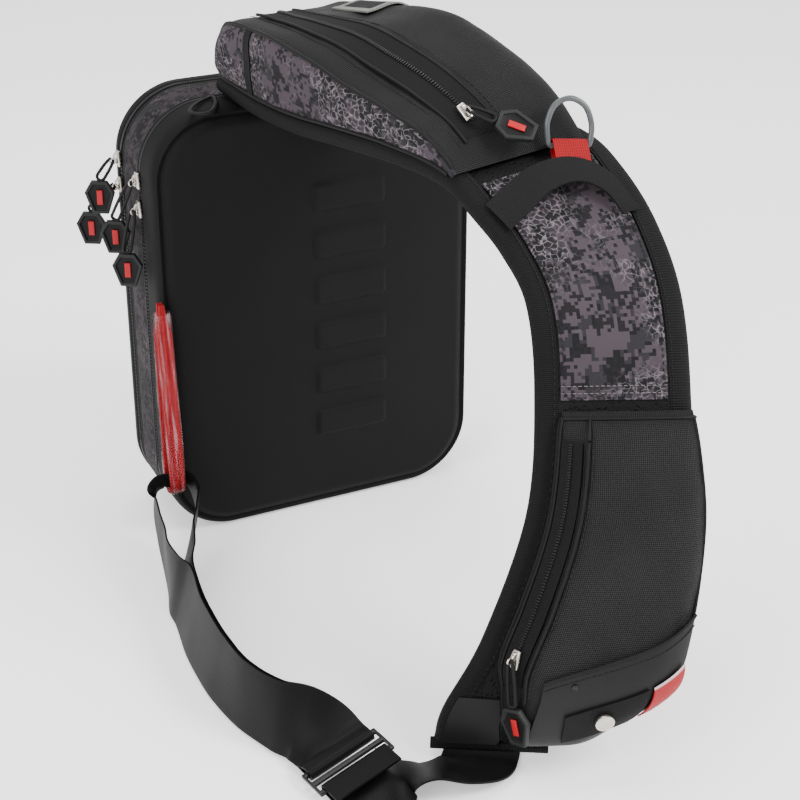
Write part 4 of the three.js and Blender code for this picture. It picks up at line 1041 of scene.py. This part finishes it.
LOWER_RISE, LOWER_FROM, LOWER_TO = 28, 10.15, 13.85
LOWER = Track("rise left over", [
    (LOWER_FROM, 0.12, -0.66, 0),
    (10.3, 0.55, -0.7, 0.02),
    (10.7, 0.8, -0.72, 0.08),
    (11.2, 0.95, -0.72, 0.2),
    (11.7, 1, -0.72, 0.34),
    (12.2, 1, -0.68, 0.48),
    (12.6, 0.92, -0.4, 0.48),
    (13, 0.78, -0.16, 0.36),
    (13.5, 0.5, 0, 0.24),
    (LOWER_TO, 0.14, 0.1, 0),
])


def lower(at, share, inset=0.0):
    at = np.atleast_1d(np.asarray(at, float))
    share = np.broadcast_to(share, at.shape)
    rise, left, over = LOWER(at)
    half = half_at(at)
    rise, left, over = rise * LOWER_RISE, left * half, over * half
    right = half - PAD_EDGE
    wide = right - left
    section = [
        (left, 0 * at),
        (left + 0.03 * half, 0.35 * rise),
        (left + 0.2 * wide, 0.92 * rise),
        (left + 0.36 * wide, 1.05 * rise),
        (left + 0.62 * wide + 0.3 * over, rise),
        (left + 0.88 * wide + 0.7 * over, 0.85 * rise),
        (right + over, 0.45 * rise),
        (right + 0.8 * over, 0.08 * rise),
        (right - 1, 0 * at),
    ]
    return pouch(at, section, share, rise, inset)


def skin(form, start, end, low, high, lift=0.0):
    """Part of a pouch's surface between two places and two shares."""
    return lambda s, t, inset: form(spread(s, start, end), spread(t, low, high), inset - lift)


def skin_line(form, start, end, share, lift=0.0):
    """A line along a pouch at one share, or along two shares that it runs between."""
    low, high = share if isinstance(share, tuple) else (share, share)

    def line(x):
        at, across = spread(x, start, end), spread(x, low, high)
        points = form(at, across, -lift)
        return points, form(at, across, -lift - 2) - points
    return line


def piped(name, line, radius, material=PIPE, count=140):
    points, outs = line(np.linspace(0, 1, count))
    return settle(tube(points, radius), name, material, angle=60)


settle(surface(skin(shoulder, 0, SHOULDER_TIP, GUSSET_SHARE, 1), 130, 60, 1.6, crumple=(1.7, 42, 3)),
       "shoulder_top", BALLISTIC, angle=60)
shoulder_side = skin(shoulder, SHOULDER_SEAM, SHOULDER_TIP, 0, GUSSET_SHARE)
settle(surface(shoulder_side, 110, 26, 1.6, crumple=(1.2, 34, 4)),
       "shoulder_gusset", CAMO, angle=60)
settle(surface(skin(shoulder, 0, SHOULDER_SEAM, 0, GUSSET_SHARE), 40, 26, 1.6, crumple=(1.2, 30, 5)),
       "shoulder_end", CAMO, angle=60)
settle(surface(skin(shoulder, SHOULDER_SEAM - 0.11, SHOULDER_SEAM + 0.11, 0, GUSSET_SHARE, 0.9), 6, 26, 0.9),
       "shoulder_seam_binding", BIND_FINE)
settle(surface(skin(shoulder, 1, 5.8, 0.37, 0.48, LIFT + 0.8), 110, 8, 0.9),
       "shoulder_zip_tape", TAPE)
toothed("shoulder_zip_coil", skin_line(shoulder, 1.02, 5.6, 0.43, 2.1), 1.8, 3.0)
for name, share, radius in (("shoulder_zip_flap", 0.375, 1.1), ("shoulder_zip_edge", 0.48, 1.1)):
    piped(name, skin_line(shoulder, 0.9, 5.85, share, 1.2), radius)
piped("shoulder_gusset_piping", skin_line(shoulder, 0.12, 6.1, GUSSET_SHARE, 0.2), 1.5)
piped("shoulder_foot_piping", skin_line(shoulder, 0.12, 6.1, 0.012, 0.3), 1.4)
stitched("shoulder_zip_thread", skin_line(shoulder, 0.95, 5.85, 0.355, 0.2))
stitched("shoulder_top_thread", skin_line(shoulder, 0.95, 5.85, 0.5, 0.2))


def rim_of(edge_s, edge_t):
    def rim(s, t):
        near = np.minimum(np.minimum(s, 1 - s) / edge_s, np.minimum(t, 1 - t) / edge_t)
        return (near < 1).astype(float)
    return rim


settle(surface(skin(shoulder, 1.5, 2.7, 0.56, 0.8, 2 * LIFT + 0.6), 60, 60, 1.2, rim=rim_of(0.11, 0.13)),
       "shoulder_patch", BADGE)

# Patterned panel with its stitched hems, and the band arched over it
PANEL_FROM, PANEL_TO, PANEL = 6.5, 10.05, 2.0


def on_face(height):
    def place(s, t, inset):
        at = spread(s, PANEL_FROM, PANEL_TO)
        room = half_at(at) - BIND_FACE - 2 * PAD_EDGE
        return on_strap(at, spread(t, -1, 1) * room, PAD_HALF + GAP + height - inset)
    return place


settle(surface(on_face(PANEL), 90, 30, 1.8, crumple=(0.9, 36, 6)), "pattern_panel", CAMO)


def hem(s_low, s_high, t_low, t_high):
    place = on_face(PANEL + 0.2)

    def line(x):
        s, t = spread(x, s_low, s_high), spread(x, t_low, t_high)
        points = place(s, t, 0.0)
        return points, points - place(s, t, 1.0)
    return line


# name, its low and high shares along, its low and high shares across, thread
HEMS = [
    ("panel_hem_top", 0.02, 0.02, 0.02, 0.98, THREAD),
    ("panel_hem_foot", 0.982, 0.982, 0.02, 0.98, THREAD_PALE),
    ("panel_hem_foot_inner", 0.962, 0.962, 0.02, 0.98, THREAD_PALE),
    ("panel_hem_left", 0.02, 0.98, 0.03, 0.03, THREAD),
    ("panel_hem_right", 0.02, 0.98, 0.97, 0.97, THREAD),
]
for name, *ends, thread in HEMS:
    stitched(name, hem(*ends), thread)

BAND_LIFT, BAND_WALL = 10.4, 1.8
BAND_BASE = PAD_HALF + PANEL + 3 * GAP
BAND = Track("low lowU high highU lift", [
    (0, 7.62, -0.8, 6.95, -0.86, 0),
    (1, 7.42, -0.5, 6.74, -0.48, 0.4),
    (2, 7.2, -0.12, 6.64, -0.1, 0.85),
    (3, 7.22, 0.24, 6.75, 0.32, 1),
    (4, 7.47, 0.48, 7.12, 0.64, 0.65),
    (5, 7.8, 0.58, 7.8, 0.82, 0.08),
])


def band_place(s, t, inset):
    low, low_u, high, high_u, lift = BAND(5 * s)
    at = spread(t, low, high)
    height = BAND_BASE + lift * BAND_LIFT + BAND_WALL
    return on_strap(at, spread(t, low_u, high_u) * half_at(at), height - inset)


settle(surface(band_place, 90, 14, BAND_WALL), "webbing_band", WEB_PALE)

# Lower pouch
settle(surface(skin(lower, LOWER_FROM, LOWER_TO, 0, 1), 100, 80, 1.6, crumple=(1.5, 40, 7)),
       "lower_pouch", BALLISTIC, angle=60)
settle(surface(skin(lower, 10.4, 12.4, 0.14, 0.23, 2 * LIFT + 0.8), 70, 8, 0.9),
       "lower_zip_tape", TAPE)
toothed("lower_zip_coil", skin_line(lower, 10.42, 12.1, 0.185, 2.6), 1.8, 3.0)
piped("lower_zip_flap", skin_line(lower, 10.21, 12.6, (0.26, 0.25), 1.5), 1.2)
piped("lower_zip_edge", skin_line(lower, 10.21, 12.5, 0.125, 1.3), 1.0)
piped("lower_side_piping", skin_line(lower, 10.2, 13.8, 0.75, 0.3), 1.1)
piped("lower_top_piping", skin_line(lower, 10.21, 10.21, (0.04, 0.93), 0.5), 1.2)
piped("lower_foot_piping", skin_line(lower, 10.2, 13.8, 0.012, 0.3), 1.3)
stitched("lower_zip_thread", skin_line(lower, 10.3, 12.5, (0.285, 0.275), 0.3))


def patch(form, corners, lift):
    (a0, s0), (a1, s1), (a2, s2), (a3, s3) = corners

    def place(s, t, inset):
        at = (a0 * (1 - t) + a1 * t) * (1 - s) + (a2 * (1 - t) + a3 * t) * s
        share = (s0 * (1 - t) + s1 * t) * (1 - s) + (s2 * (1 - t) + s3 * t) * s
        return form(at, share, inset - lift)
    return place


SEAM = [(12.3, 0.36), (11.65, 0.72), (13.6, 0.36), (13.4, 0.72)]
SNAP_TAB = [(12.74, 0.46), (12.28, 0.62), (13.3, 0.52), (12.85, 0.7)]
LABEL_AT = [(12.26, 0.63), (12.02, 0.7), (12.74, 0.71), (12.5, 0.78)]
TAB_LIFT = 3 * LIFT + 1.5
settle(surface(patch(lower, SEAM, 2 * LIFT + 1), 50, 50, 1.0), "lower_panel", SMOOTH)
piped("lower_panel_piping", skin_line(lower, 12.3, 11.65, (0.36, 0.72), 2.4), 1.3)
stitched("lower_panel_thread", skin_line(lower, 12.38, 11.73, (0.37, 0.72), 2.3))
settle(surface(patch(lower, SNAP_TAB, TAB_LIFT + 1), 20, 30, 1.4), "snap_tab", WEB_PALE)
label = surface(patch(lower, LABEL_AT, TAB_LIFT + 1), 16, 24, 1.0, rim=lambda s, t: (s < 0.06).astype(float))
settle(label, "red_label", LABEL)


def basis(x, y, z, place):
    """A matrix, in metres, whose columns are three directions and a place in millimetres."""
    matrix = Matrix.Identity(4)
    for i, column in enumerate((x, y, z)):
        for j in range(3):
            matrix[j][i] = float(column[j])
    for j in range(3):
        matrix[j][3] = float(place[j]) * MM
    return matrix


def skin_frame(form, at, share, lift):
    """Place, direction along, and the way out of a point on a pouch."""
    step = 0.05
    place = form(at, share, -lift)[0]
    along = unit(form(at + step, share, -lift)[0] - place)
    across = unit(form(at, share + step, -lift)[0] - place)
    out = unit(np.cross(along, across))
    return place, along, out * (1 if out @ read(OUT, [at])[0] > 0 else -1)


def button(name, at, share, lift, diameter, height, material):
    """A domed cap with a rolled rim."""
    place, along, out = skin_frame(lower, at, share, lift)
    cap = primitive("cylinder", vertices=40, radius=diameter / 2 * MM, depth=height * MM)
    edit(cap, inset(0.11 * diameter, -0.25 * height), inset(0.12 * diameter, 0.35 * height),
         inset(0.15 * diameter, 0.08 * height), faces=lambda centre, normal: normal.z > 0.9)
    modify(cap, "BEVEL", width=0.12 * height * MM, segments=3, limit_method="ANGLE")
    cap.data.transform(basis(unit(np.cross(out, along)), -along, out, place + out * height / 2))
    return settle(cap, name, material)


button("snap_cap", 12.76, 0.575, TAB_LIFT + 1 + LIFT, 12.5, 2.6, NICKEL)
button("rivet", 12.3, 0.45, 2 * LIFT + 1, 4.0, 1.2, PLASTIC)

# Strap end
COVER_FROM = 12.75


def end_cover(s, t, inset):
    at = spread(s, COVER_FROM, STRAP_END)
    low = -half_at(at) + PAD_HALF
    high = LOWER(at)[1] * half_at(at) - 1.5
    return on_strap(at, spread(t, low, high), PAD_HALF + BIND + 2 * GAP + 1 - inset)


settle(surface(end_cover, 30, 16, 1.0), "strap_end_cover", SMOOTH)
end_middle, end_across, end_along = MIDDLE[-1], ACROSS[-1], ALONG[-1]
END_ROLL = 8
roll_line = [end_middle + end_across * x + end_along * (END_ROLL / 2 + GAP)
             for x in np.linspace(-HALF[-1], HALF[-1], 24)]
settle(sweep(roll_line, [end_along] * 24, oval(END_ROLL, END_ROLL, 14)), "strap_end_roll", BIND_COARSE,
       angle=60)

# D-ring and its red tab
RING_AT, RING_STAND, RING_WIDTH, RING_HEIGHT, RING_WIRE, RING_LEAN = 6.4, 9.2, 29, 30, 3.6, 38
RING_STEPS_ROUND = 96
# Across the ring and up it, as shares of its width and height
RING_OUTLINE = [(-0.44, 0), (-0.3, 0), (0, 0), (0.3, 0), (0.44, 0), (0.5, 0.2), (0.5, 0.5), (0.34, 0.85),
                (0, 1), (-0.34, 0.85), (-0.5, 0.5), (-0.5, 0.2)]
TAB_WIDTH, TAB_THICKNESS = 23, 1.4
bar = on_chord(RING_AT, 0.46 * half_at(RING_AT), PAD_HALF + RING_STAND)
tab_down = on_chord(6.8, 0.34 * half_at(6.8), PAD_HALF + 7.9) - bar
tab_reach = np.linalg.norm(tab_down)
tab_down = unit(tab_down)
ring_across = read(ACROSS, [RING_AT])[0]
ring_across = unit(ring_across - tab_down * (ring_across @ tab_down))
tab_out = unit(np.cross(tab_down, ring_across))
lean = math.radians(RING_LEAN)
ring_up = -math.cos(lean) * tab_down + math.sin(lean) * tab_out
ring_points = [bar + ring_across * x * RING_WIDTH + ring_up * y * RING_HEIGHT for x, y in RING_OUTLINE]
ring_points = resampled(ring_points, RING_STEPS_ROUND, closed=True)
ring_normal = unit(np.cross(ring_across, ring_up))
ring_section = oval(RING_WIRE - 0.2, RING_WIRE + 0.2, 14)
d_ring = sweep(ring_points, [ring_normal] * RING_STEPS_ROUND, ring_section, closed=True)
settle(d_ring, "d_ring", SATIN, body="ring", angle=70)
fold = RING_WIRE / 2 + 4 * GAP + TAB_THICKNESS / 2
tab_rows = [(tab_reach, fold), (tab_reach * 0.5, fold), (0, fold)]
tab_rows += [(fold * math.cos(a), fold * math.sin(a)) for a in np.radians(range(105, 256, 15))]
tab_rows += [(0, -fold), (tab_reach * 0.5, -fold), (tab_reach, -fold)]
tab_points = [bar + tab_down * down + tab_out * out for down, out in tab_rows]
settle(sweep(tab_points, [ring_across] * len(tab_points), strip(TAB_WIDTH, TAB_THICKNESS, 10)), "d_ring_tab",
       RED_WEB, angle=60)

# Red loop in its clear sleeve
SLEEVE_WIDTH, SLEEVE, SLEEVE_WALL, RED_STRIP, LOOP_SPREAD = 14, 4.4, 0.8, 1.8, 14
loop_top = np.array([-BODY_WIDTH / 2 - 1, BACK_Y - 5.2, 0.57 * BODY_HEIGHT])
eye = np.array([loop_top[0], BACK_Y - 13, loop_top[2] - 146 + LOOP_SPREAD / 2])
narrow = SLEEVE / 2 + GAP
loop_rows = [(0, -narrow, 0), (0.5, -5, 0), (1, -7, 0)]
loop_rows += [(1, 7 * math.sin(a), 7 * math.cos(a)) for a in np.radians([-67, -45, -22, 0, 22, 45, 67])]
loop_rows += [(1, 7, 0), (0.5, 5, 0), (0, narrow, 0)]
loop_points = [loop_top + (eye - loop_top) * s + np.array([0, y, -down]) for s, y, down in loop_rows]
loop_points = resampled(loop_points, 90)
sideways = [(1.0, 0, 0)] * len(loop_points)
settle(sweep(loop_points, sideways, oval(SLEEVE_WIDTH, SLEEVE, 16)), "loop_sleeve", CLEAR, angle=80)
red_line = loop_points.copy()
red_line[0, 2] += 7
red_line[-1, 2] += 7
red_line[[0, -1], 1] += 1.5
red_width = SLEEVE_WIDTH - 2 * SLEEVE_WALL - 2 * GAP
ends = np.minimum(np.arange(len(red_line)), np.arange(len(red_line))[::-1])
taper = np.clip(0.35 + ends / 7, 0, 1)
red_profile = strip(1, RED_STRIP, 8)[None] * np.stack([taper * red_width, np.ones_like(taper)], 1)[:, None]
settle(sweep(red_line, sideways, red_profile), "red_loop", RED_WEB, angle=60)

# Webbing on the floor and its slider
WEBBING, WEBBING_THICK, WEBBING_BOW = 50, 1.8, 100
foot = MIDDLE[-1] * (1, 1, 0)
line = eye * (1, 1, 0) - foot
LINE_LENGTH = np.linalg.norm(line)
line = line / LINE_LENGTH
aside = np.array([-line[1], line[0], 0])


def on_floor(along, side, lift):
    return foot + line * along * LINE_LENGTH + aside * side * WEBBING_BOW + np.array([0, 0, lift])


def turned(v, degrees):
    a = math.radians(degrees)
    return np.array([v[0] * math.cos(a) - v[1] * math.sin(a), v[0] * math.sin(a) + v[1] * math.cos(a), 0])


BAR_THICKNESS, BAR_WIDTH, SLIDER_LENGTH, SLIDER_SPAN, SLIDER_CLEAR = 3, 4, 58, 24, 3.5
SNUG = 2 * GAP
BAR_LAYER = BAR_THICKNESS / 2 + SNUG + WEBBING_THICK / 2
slider_lean = math.radians(14)
slider_middle = on_floor(0.123, 0.87, SLIDER_LENGTH / 2 * math.sin(slider_lean) + BAR_LAYER + SLIDER_CLEAR)
slider_along = turned(line, -7)
slider_across = unit(np.array([slider_along[1], -slider_along[0], math.tan(slider_lean)]))
slider_up = np.cross(slider_across, slider_along)
BAR_OUT = (SLIDER_SPAN - BAR_WIDTH) / 2
FOLD = BAR_WIDTH / 2 + SNUG + WEBBING_THICK / 2


def bar_turn(side, start):
    """The band's turn round one bar of the slider."""
    over = [(-2.3, 1), (-1.1, 1), (0, 1), (0.5, 1), (0.85, 0.8), (1, 0.3)]
    stations = []
    for out, up in over + [(out, -up) for out, up in over[::-1]]:
        aside_bar = slider_along * side * (BAR_OUT - FOLD * out)
        place = slider_middle + aside_bar + slider_up * start * BAR_LAYER * up
        stations.append((*place, *slider_across, WEBBING))
    return stations


def station(row, layer=0):
    along, side, lift, stand, yaw, wide, apart = (*row, *(1, 0)[len(row) - 5:])
    base = math.atan2(-aside[1], -aside[0]) + math.radians(yaw)
    across = unit(np.array([math.cos(base), math.sin(base), 0]) * (1 - abs(stand)) + np.array([0, 0, stand]))
    out = unit(np.cross(across, (-math.sin(base), math.cos(base), 0)))
    return (*(on_floor(along, side, lift) + out * layer * apart), *across, wide * WEBBING)


LAYER = WEBBING_THICK / 2 + GAP
# along, side, lift, stand, yaw, wide, apart
RUN = [
    (0.201, 0.866, 18.5, 0.36, -5, 1, 2.2),
    (0.238, 0.925, 24.2, 0.6, 2, 1, 1.4),
    (0.281, 1, 25.5, 0.8, 6, 1, LAYER),
    (0.377, 1.023, 25.6, 0.85, -4, 1, LAYER),
    (0.478, 0.959, 25.6, 0.82, -13, 1, LAYER),
    (0.548, 0.884, 25.6, 0.81, -19, 1, LAYER),
    (0.629, 0.778, 25.6, 0.8, -23, 1, LAYER),
    (0.727, 0.613, 25.6, 0.79, -25, 1, LAYER),
]
BACK_STRAND = [
    (0.778, 0.583, 25.8, 0.85, -25, 0.98),
    (0.841, 0.48, 26.5, 0.97, -27, 0.93),
    (0.897, 0.372, 29, 0.95, -27, 0.78),
    (0.962, 0.261, 35, 0.95, -27, 0.58),
    (1.013, 0.164, 46, 0.95, -41, 0.4),
    (1.015, 0.12, 59.5, 1, -70, 0.22),
]
FRONT_STRAND = [
    (0.987, -0.091, 59.5, 1, -60, 0.22),
    (0.952, -0.078, 50, 0.92, -29, 0.4),
    (0.909, 0.048, 41, 0.88, -44, 0.6),
    (0.871, 0.2, 33, 0.81, -45, 0.8),
    (0.82, 0.366, 27, 0.75, -41, 0.95),
    (0.772, 0.506, 25.6, 0.77, -40, 0.98),
]
TAIL = [
    (0.045, 0.79, 11, 0.14, 20),
    (0.036, 0.67, 9.5, -0.12, 45, 0.92),
    (0.013, 0.531, 11, -0.31, 54, 0.9),
    (-0.009, 0.366, 8, -0.2, 74, 0.95),
    (-0.013, 0.204, 4, -0.07, 103),
    (0.011, 0.066, 1.6, 0, 125),
    (0.033, -0.029, 1.6, 0, 129),
]
eye_lift = 12 / 2 + SLEEVE / 2 + SNUG - LOOP_SPREAD / 2
in_eye = (*(eye + np.array([0, 0, eye_lift])), 0, 0, 1, 12)
loop_stations = [station(r, 1) for r in RUN] + [station(r) for r in BACK_STRAND] + [in_eye]
loop_stations += [station(r) for r in FRONT_STRAND] + [station(r, -1) for r in RUN[::-1]] + bar_turn(1, -1)
TAIL_SEWN = 16
sewn = slider_middle - slider_along * (BAR_OUT + TAIL_SEWN) + slider_up * BAR_LAYER
tail_stations = [(*sewn, *slider_across, WEBBING)] + bar_turn(-1, 1) + [station(r) for r in TAIL]


def webbing(stations, count, closed):
    """A band through stations, each with its place, the way across it and its width."""
    rows = resampled(stations, count, closed)
    profile = np.repeat(strip(1, WEBBING_THICK, 10)[None], len(rows), 0)
    profile[:, :, 0] *= rows[:, 6:]
    return sweep(rows[:, :3], rows[:, 3:6], profile, closed)


settle(webbing(loop_stations, 420, True), "webbing_loop", WEB, angle=50)
settle(webbing(tail_stations, 150, False), "webbing_tail", WEB, angle=50)

plate = block(SLIDER_SPAN, SLIDER_LENGTH, BAR_THICKNESS)
slot_wide = SLIDER_SPAN / 2 - 1.5 * BAR_WIDTH
for side in (-1, 1):
    hole = primitive("cube", size=1)
    hole.scale = (slot_wide * MM, (SLIDER_LENGTH - BAR_WIDTH) * MM, 4 * BAR_THICKNESS * MM)
    hole.location = (side * (slot_wide + BAR_WIDTH) / 2 * MM, 0, 0)
    bpy.context.view_layer.update()
    modify(plate, "BOOLEAN", operation="DIFFERENCE", object=hole, solver="EXACT")
    bpy.data.objects.remove(hole)
modify(plate, "BEVEL", width=0.9 * MM, segments=4, limit_method="ANGLE")
plate.data.transform(basis(slider_along, -slider_across, slider_up, slider_middle))
settle(plate, "bar_slider", PLASTIC, angle=50)

# Zip pulls
ZIP_LENGTH, ZIP_WIDTH, ZIP_HEIGHT, ZIP_BODY, CORD_SEAT = 12, 9, 3.4, 2.2, 1.3
TAG, TAG_THICKNESS, TAG_RIM, TAG_RECESS, TAG_TIP = 23, 4, 2.4, 1.6, 0.56
TAG_OUTLINE = [(0.5, 0.16), (0.26, TAG_TIP), (-0.26, TAG_TIP), (-0.5, 0.16), (-0.26, -TAG_TIP),
               (0.26, -TAG_TIP)]
PULL_CORD, CORD_TURN, CORD_STEPS = 2.4, 2.9, 120


def zip_slider():
    """Body, raised bridge and the small link that hangs from it."""
    body = block(ZIP_LENGTH, ZIP_WIDTH, ZIP_BODY, ZIP_BODY / 2)
    edit(body, lambda: bpy.ops.transform.resize(value=(1, 0.62, 1)),
         faces=lambda centre, normal: normal.x > 0.9)
    edit(body, inset(1.1, 0.5), faces=lambda centre, normal: normal.z > 0.9)
    modify(body, "BEVEL", width=0.5 * MM, segments=3, limit_method="ANGLE")
    a = np.linspace(0, math.pi, 18)
    arch = np.stack([4.2 * np.cos(a), 0 * a, ZIP_BODY + 2.6 * np.sin(a)], 1)
    bridge = sweep(arch, [(0, 1.0, 0)] * len(arch), oval(2.6, 1.2, 10))
    link = primitive("torus", major_radius=2.3 * MM, minor_radius=0.55 * MM, major_segments=28,
                     minor_segments=8, location=(-1.6 * MM, 0, 5.4 * MM), rotation=(math.pi / 2, 0, 0))
    bpy.ops.object.transform_apply(location=True, rotation=True, scale=False)
    bpy.ops.object.select_all(action="DESELECT")
    for part in (body, bridge, link):
        part.select_set(True)
    bpy.context.view_layer.objects.active = body
    bpy.ops.object.join()
    return body


def zip_tag():
    """A six-sided tag with a raised rim."""
    tag = primitive("circle", vertices=6, radius=1, fill_type="NGON")
    for vertex, (x, y) in zip(tag.data.vertices, TAG_OUTLINE):
        vertex.co = (x * TAG * MM, y * TAG * MM, 0)
    tag.data.update()
    raised = {"value": (0, 0, TAG_THICKNESS * MM)}
    edit(tag, outward, lambda: bpy.ops.mesh.extrude_region_move(TRANSFORM_OT_translate=raised),
         lambda: bpy.ops.mesh.select_all(action="SELECT"), outward)
    edit(tag, inset(TAG_RIM, 0), inset(0.2, -TAG_RECESS), faces=lambda centre, normal: normal.z > 0.9)
    modify(tag, "BEVEL", width=0.55 * MM, segments=3, limit_method="ANGLE")
    return tag


def tag_bar():
    """A plain bar that fills the middle of the tag's recess."""
    bar_piece = block(0.2 * TAG, 0.5 * TAG, 1.1, TAG_THICKNESS - 0.9)
    modify(bar_piece, "BEVEL", width=0.35 * MM, segments=3, limit_method="NONE")
    return bar_piece


def pull_cord(name, top, end, face):
    """A thin cord that hangs from the slider, turns through the tag's head and comes back."""
    run = end - top
    length = np.linalg.norm(run)
    down = run / length
    broad = unit(np.cross(down, face))
    centre = length - CORD_TURN
    half_loop = [(0, 1.1), (0.12 * length, 1.8), (0.35 * length, 2.5), (0.6 * length, 2.8)]
    half_loop += [(centre - 2, CORD_TURN)]
    turn = [(centre + CORD_TURN * math.sin(a), CORD_TURN * math.cos(a)) for a in np.linspace(0, math.pi, 9)]
    rows = half_loop + turn + [(d, -w) for d, w in half_loop[::-1]]
    points = resampled([top + down * d + broad * w for d, w in rows], CORD_STEPS)
    curve = bpy.data.curves.new(dressed(name), "CURVE")
    curve.dimensions = "3D"
    spline = curve.splines.new("POLY")
    spline.points.add(len(points) - 1)
    for knot, p in zip(spline.points, points):
        knot.co = (*(p * MM), 1)
    curve.bevel_depth = PULL_CORD / 2 * MM
    curve.bevel_resolution = 3
    curve.use_fill_caps = True
    curve.materials.append(CORD)
    obj = placed(dressed(name), curve)
    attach(obj, "bag")
    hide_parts(name)
    return obj, points


def pull(name, seat, out, along, tag, drop, face):
    """A slider on its zip, the cord that hangs from it, and the cord's tag with its red bar."""
    side = unit(np.cross(out, along))
    across = unit(np.cross(drop, face))
    up = -drop
    slider = zip_slider()
    slider.data.transform(basis(along, side, out, seat))
    settle(slider, name + "_slider", NICKEL, angle=35)
    place = basis(-across, up, face, tag - face * TAG_THICKNESS / 2)
    head = zip_tag()
    head.data.transform(place)
    settle(head, name + "_tag", RUBBER, angle=35)
    # The faces sunk in the middle of the recess get the darker rubber, which is painted shade.
    head.data.materials.append(RUBBER_PAINTED_SHADE)
    flat = place.inverted()
    for p in head.data.polygons:
        local = flat @ p.center
        sunk = 1.2 * MM < local.z < (TAG_THICKNESS - 1.0) * MM
        if sunk and local.xy.length < 0.4 * TAG * MM:
            p.material_index = 1
    red = tag_bar()
    red.data.transform(place)
    settle(red, name + "_tag_bar", RED_RUBBER, angle=35)
    top = seat + out * (ZIP_HEIGHT + PULL_CORD / 2 + CORD_SEAT)
    end = tag + up * (TAG_TIP * TAG + 1.0)
    cord, points = pull_cord(name + "_cord", top, end, face)


LEFT = -BODY_WIDTH / 2
SIDE_FACE = unit(np.array([-0.5, -0.866, 0]))
back_zip_middle, front_zip_middle = (BACK_ZIP_Y + GUSSET_Y) / 2, (FRONT_ZIP_Y + FRONT_Y) / 2
# name, zip, height, out, back, hang
SIDE_PULLS = [
    ("back_pull_upper", back_zip_middle, 0.84, 13, 26, 0.69),
    ("back_pull_lower", back_zip_middle, 0.775, 12, 4, 0.635),
    ("front_pull_upper", front_zip_middle, 0.85, 17, 2, 0.765),
    ("front_pull_lower", front_zip_middle, 0.79, 20, 21, 0.675),
]
for name, y, height, x, back, hang in SIDE_PULLS:
    seat = np.array([LEFT - GAP, y, height * BODY_HEIGHT])
    tag_at = np.array([LEFT - x, y + back, hang * BODY_HEIGHT])
    out, up = np.array([-1.0, 0, 0]), np.array([0, 0, 1.0])
    pull(name, seat, out, up, tag_at, -up, SIDE_FACE)
PULL_LIFT = 3 * LIFT + 1
for name, form, at, share, reach, tag_lift, drop in (
        ("shoulder_pull", shoulder, 5.5, 0.425, 34, 5, (0.75, -0.55, -0.3)),
        ("lower_pull", lower, 12.1, 0.19, 42, 12, (0.1, -0.25, -1))):
    seat, along, out = skin_frame(form, at, share, PULL_LIFT)
    drop = unit(np.array(drop))
    face = unit(out - drop * (out @ drop))
    pull(name, seat, out, -along, seat + drop * reach + face * tag_lift, drop, face)

# Flat loop puller at the top left corner
PULLER_LENGTH, PULLER_WIDTH, PULLER_WIRE, PULLER_TURN, PULLER_BESIDE, PULLER_RISE = 40, 16, 3.4, 55, 18.6, 1.7
# Along the loop and across it, as shares of its length and width
PULLER_OUTLINE = [(0.5, 0), (0.3, 0.3), (-0.1, 0.5), (-0.42, 0.4), (-0.5, 0), (-0.42, -0.4), (-0.1, -0.5),
                  (0.3, -0.3)]
puller_at = np.array([MIDDLE[0][0] - HALF[0] - PULLER_BESIDE, BACK_Y + 8, BODY_HEIGHT + PULLER_RISE])
puller_points = [(x * PULLER_LENGTH, y * PULLER_WIDTH) for x, y in PULLER_OUTLINE]
puller_points = [turned(p, PULLER_TURN) + puller_at for p in puller_points]
puller_points = resampled(puller_points, 64, closed=True)
puller = sweep(puller_points, [(0, 0, 1.0)] * len(puller_points), oval(2.0, PULLER_WIRE, 10), closed=True)
settle(puller, "loop_puller", CORD, angle=70)

# Floor and light
FLOOR_SIZE, FLOOR_DROP = 12, 0.0002
floor = primitive("plane", size=FLOOR_SIZE)
floor.name = "floor"
floor.location.z = -FLOOR_DROP
ground = Finish("floor_paper", Specular_IOR_Level=0.1, Emission_Color=(1, 1, 1, 1), Emission_Strength=0.5)
ground.link("Base Color", ground.mix(ground.noise(3, 2.0), (0.94, 0.94, 0.94), (0.97, 0.97, 0.97)))
ground.link("Roughness", 0.8 + 0.1 * ground.noise(40))
floor.data.materials.append(ground.material)


def lamp(name, place, aim, size, power):
    data = bpy.data.lights.new(name, "AREA")
    data.shape = "DISK"
    data.size = size
    data.energy = power
    aimed(placed(name, data), place, Vector(aim) - Vector(place))


# name, place, aim, size in metres, power in watts
LAMPS = [
    ("key", (1.3, -1.6, 1.9), (0.0, -0.2, 0.15), 1.1, 70),
    ("fill", (-1.8, -1.1, 1.5), (0.0, -0.2, 0.15), 1.6, 40),
    ("top", (0.0, 0.5, 2.4), (0.0, -0.2, 0.1), 1.8, 38),
]
for row in LAMPS:
    lamp(*row)
world = bpy.data.worlds.new("studio")
world.use_nodes = True
world.node_tree.nodes["Background"].inputs["Color"].default_value = (1, 1, 1, 1)
world.node_tree.nodes["Background"].inputs["Strength"].default_value = 1.0
bpy.context.scene.world = world
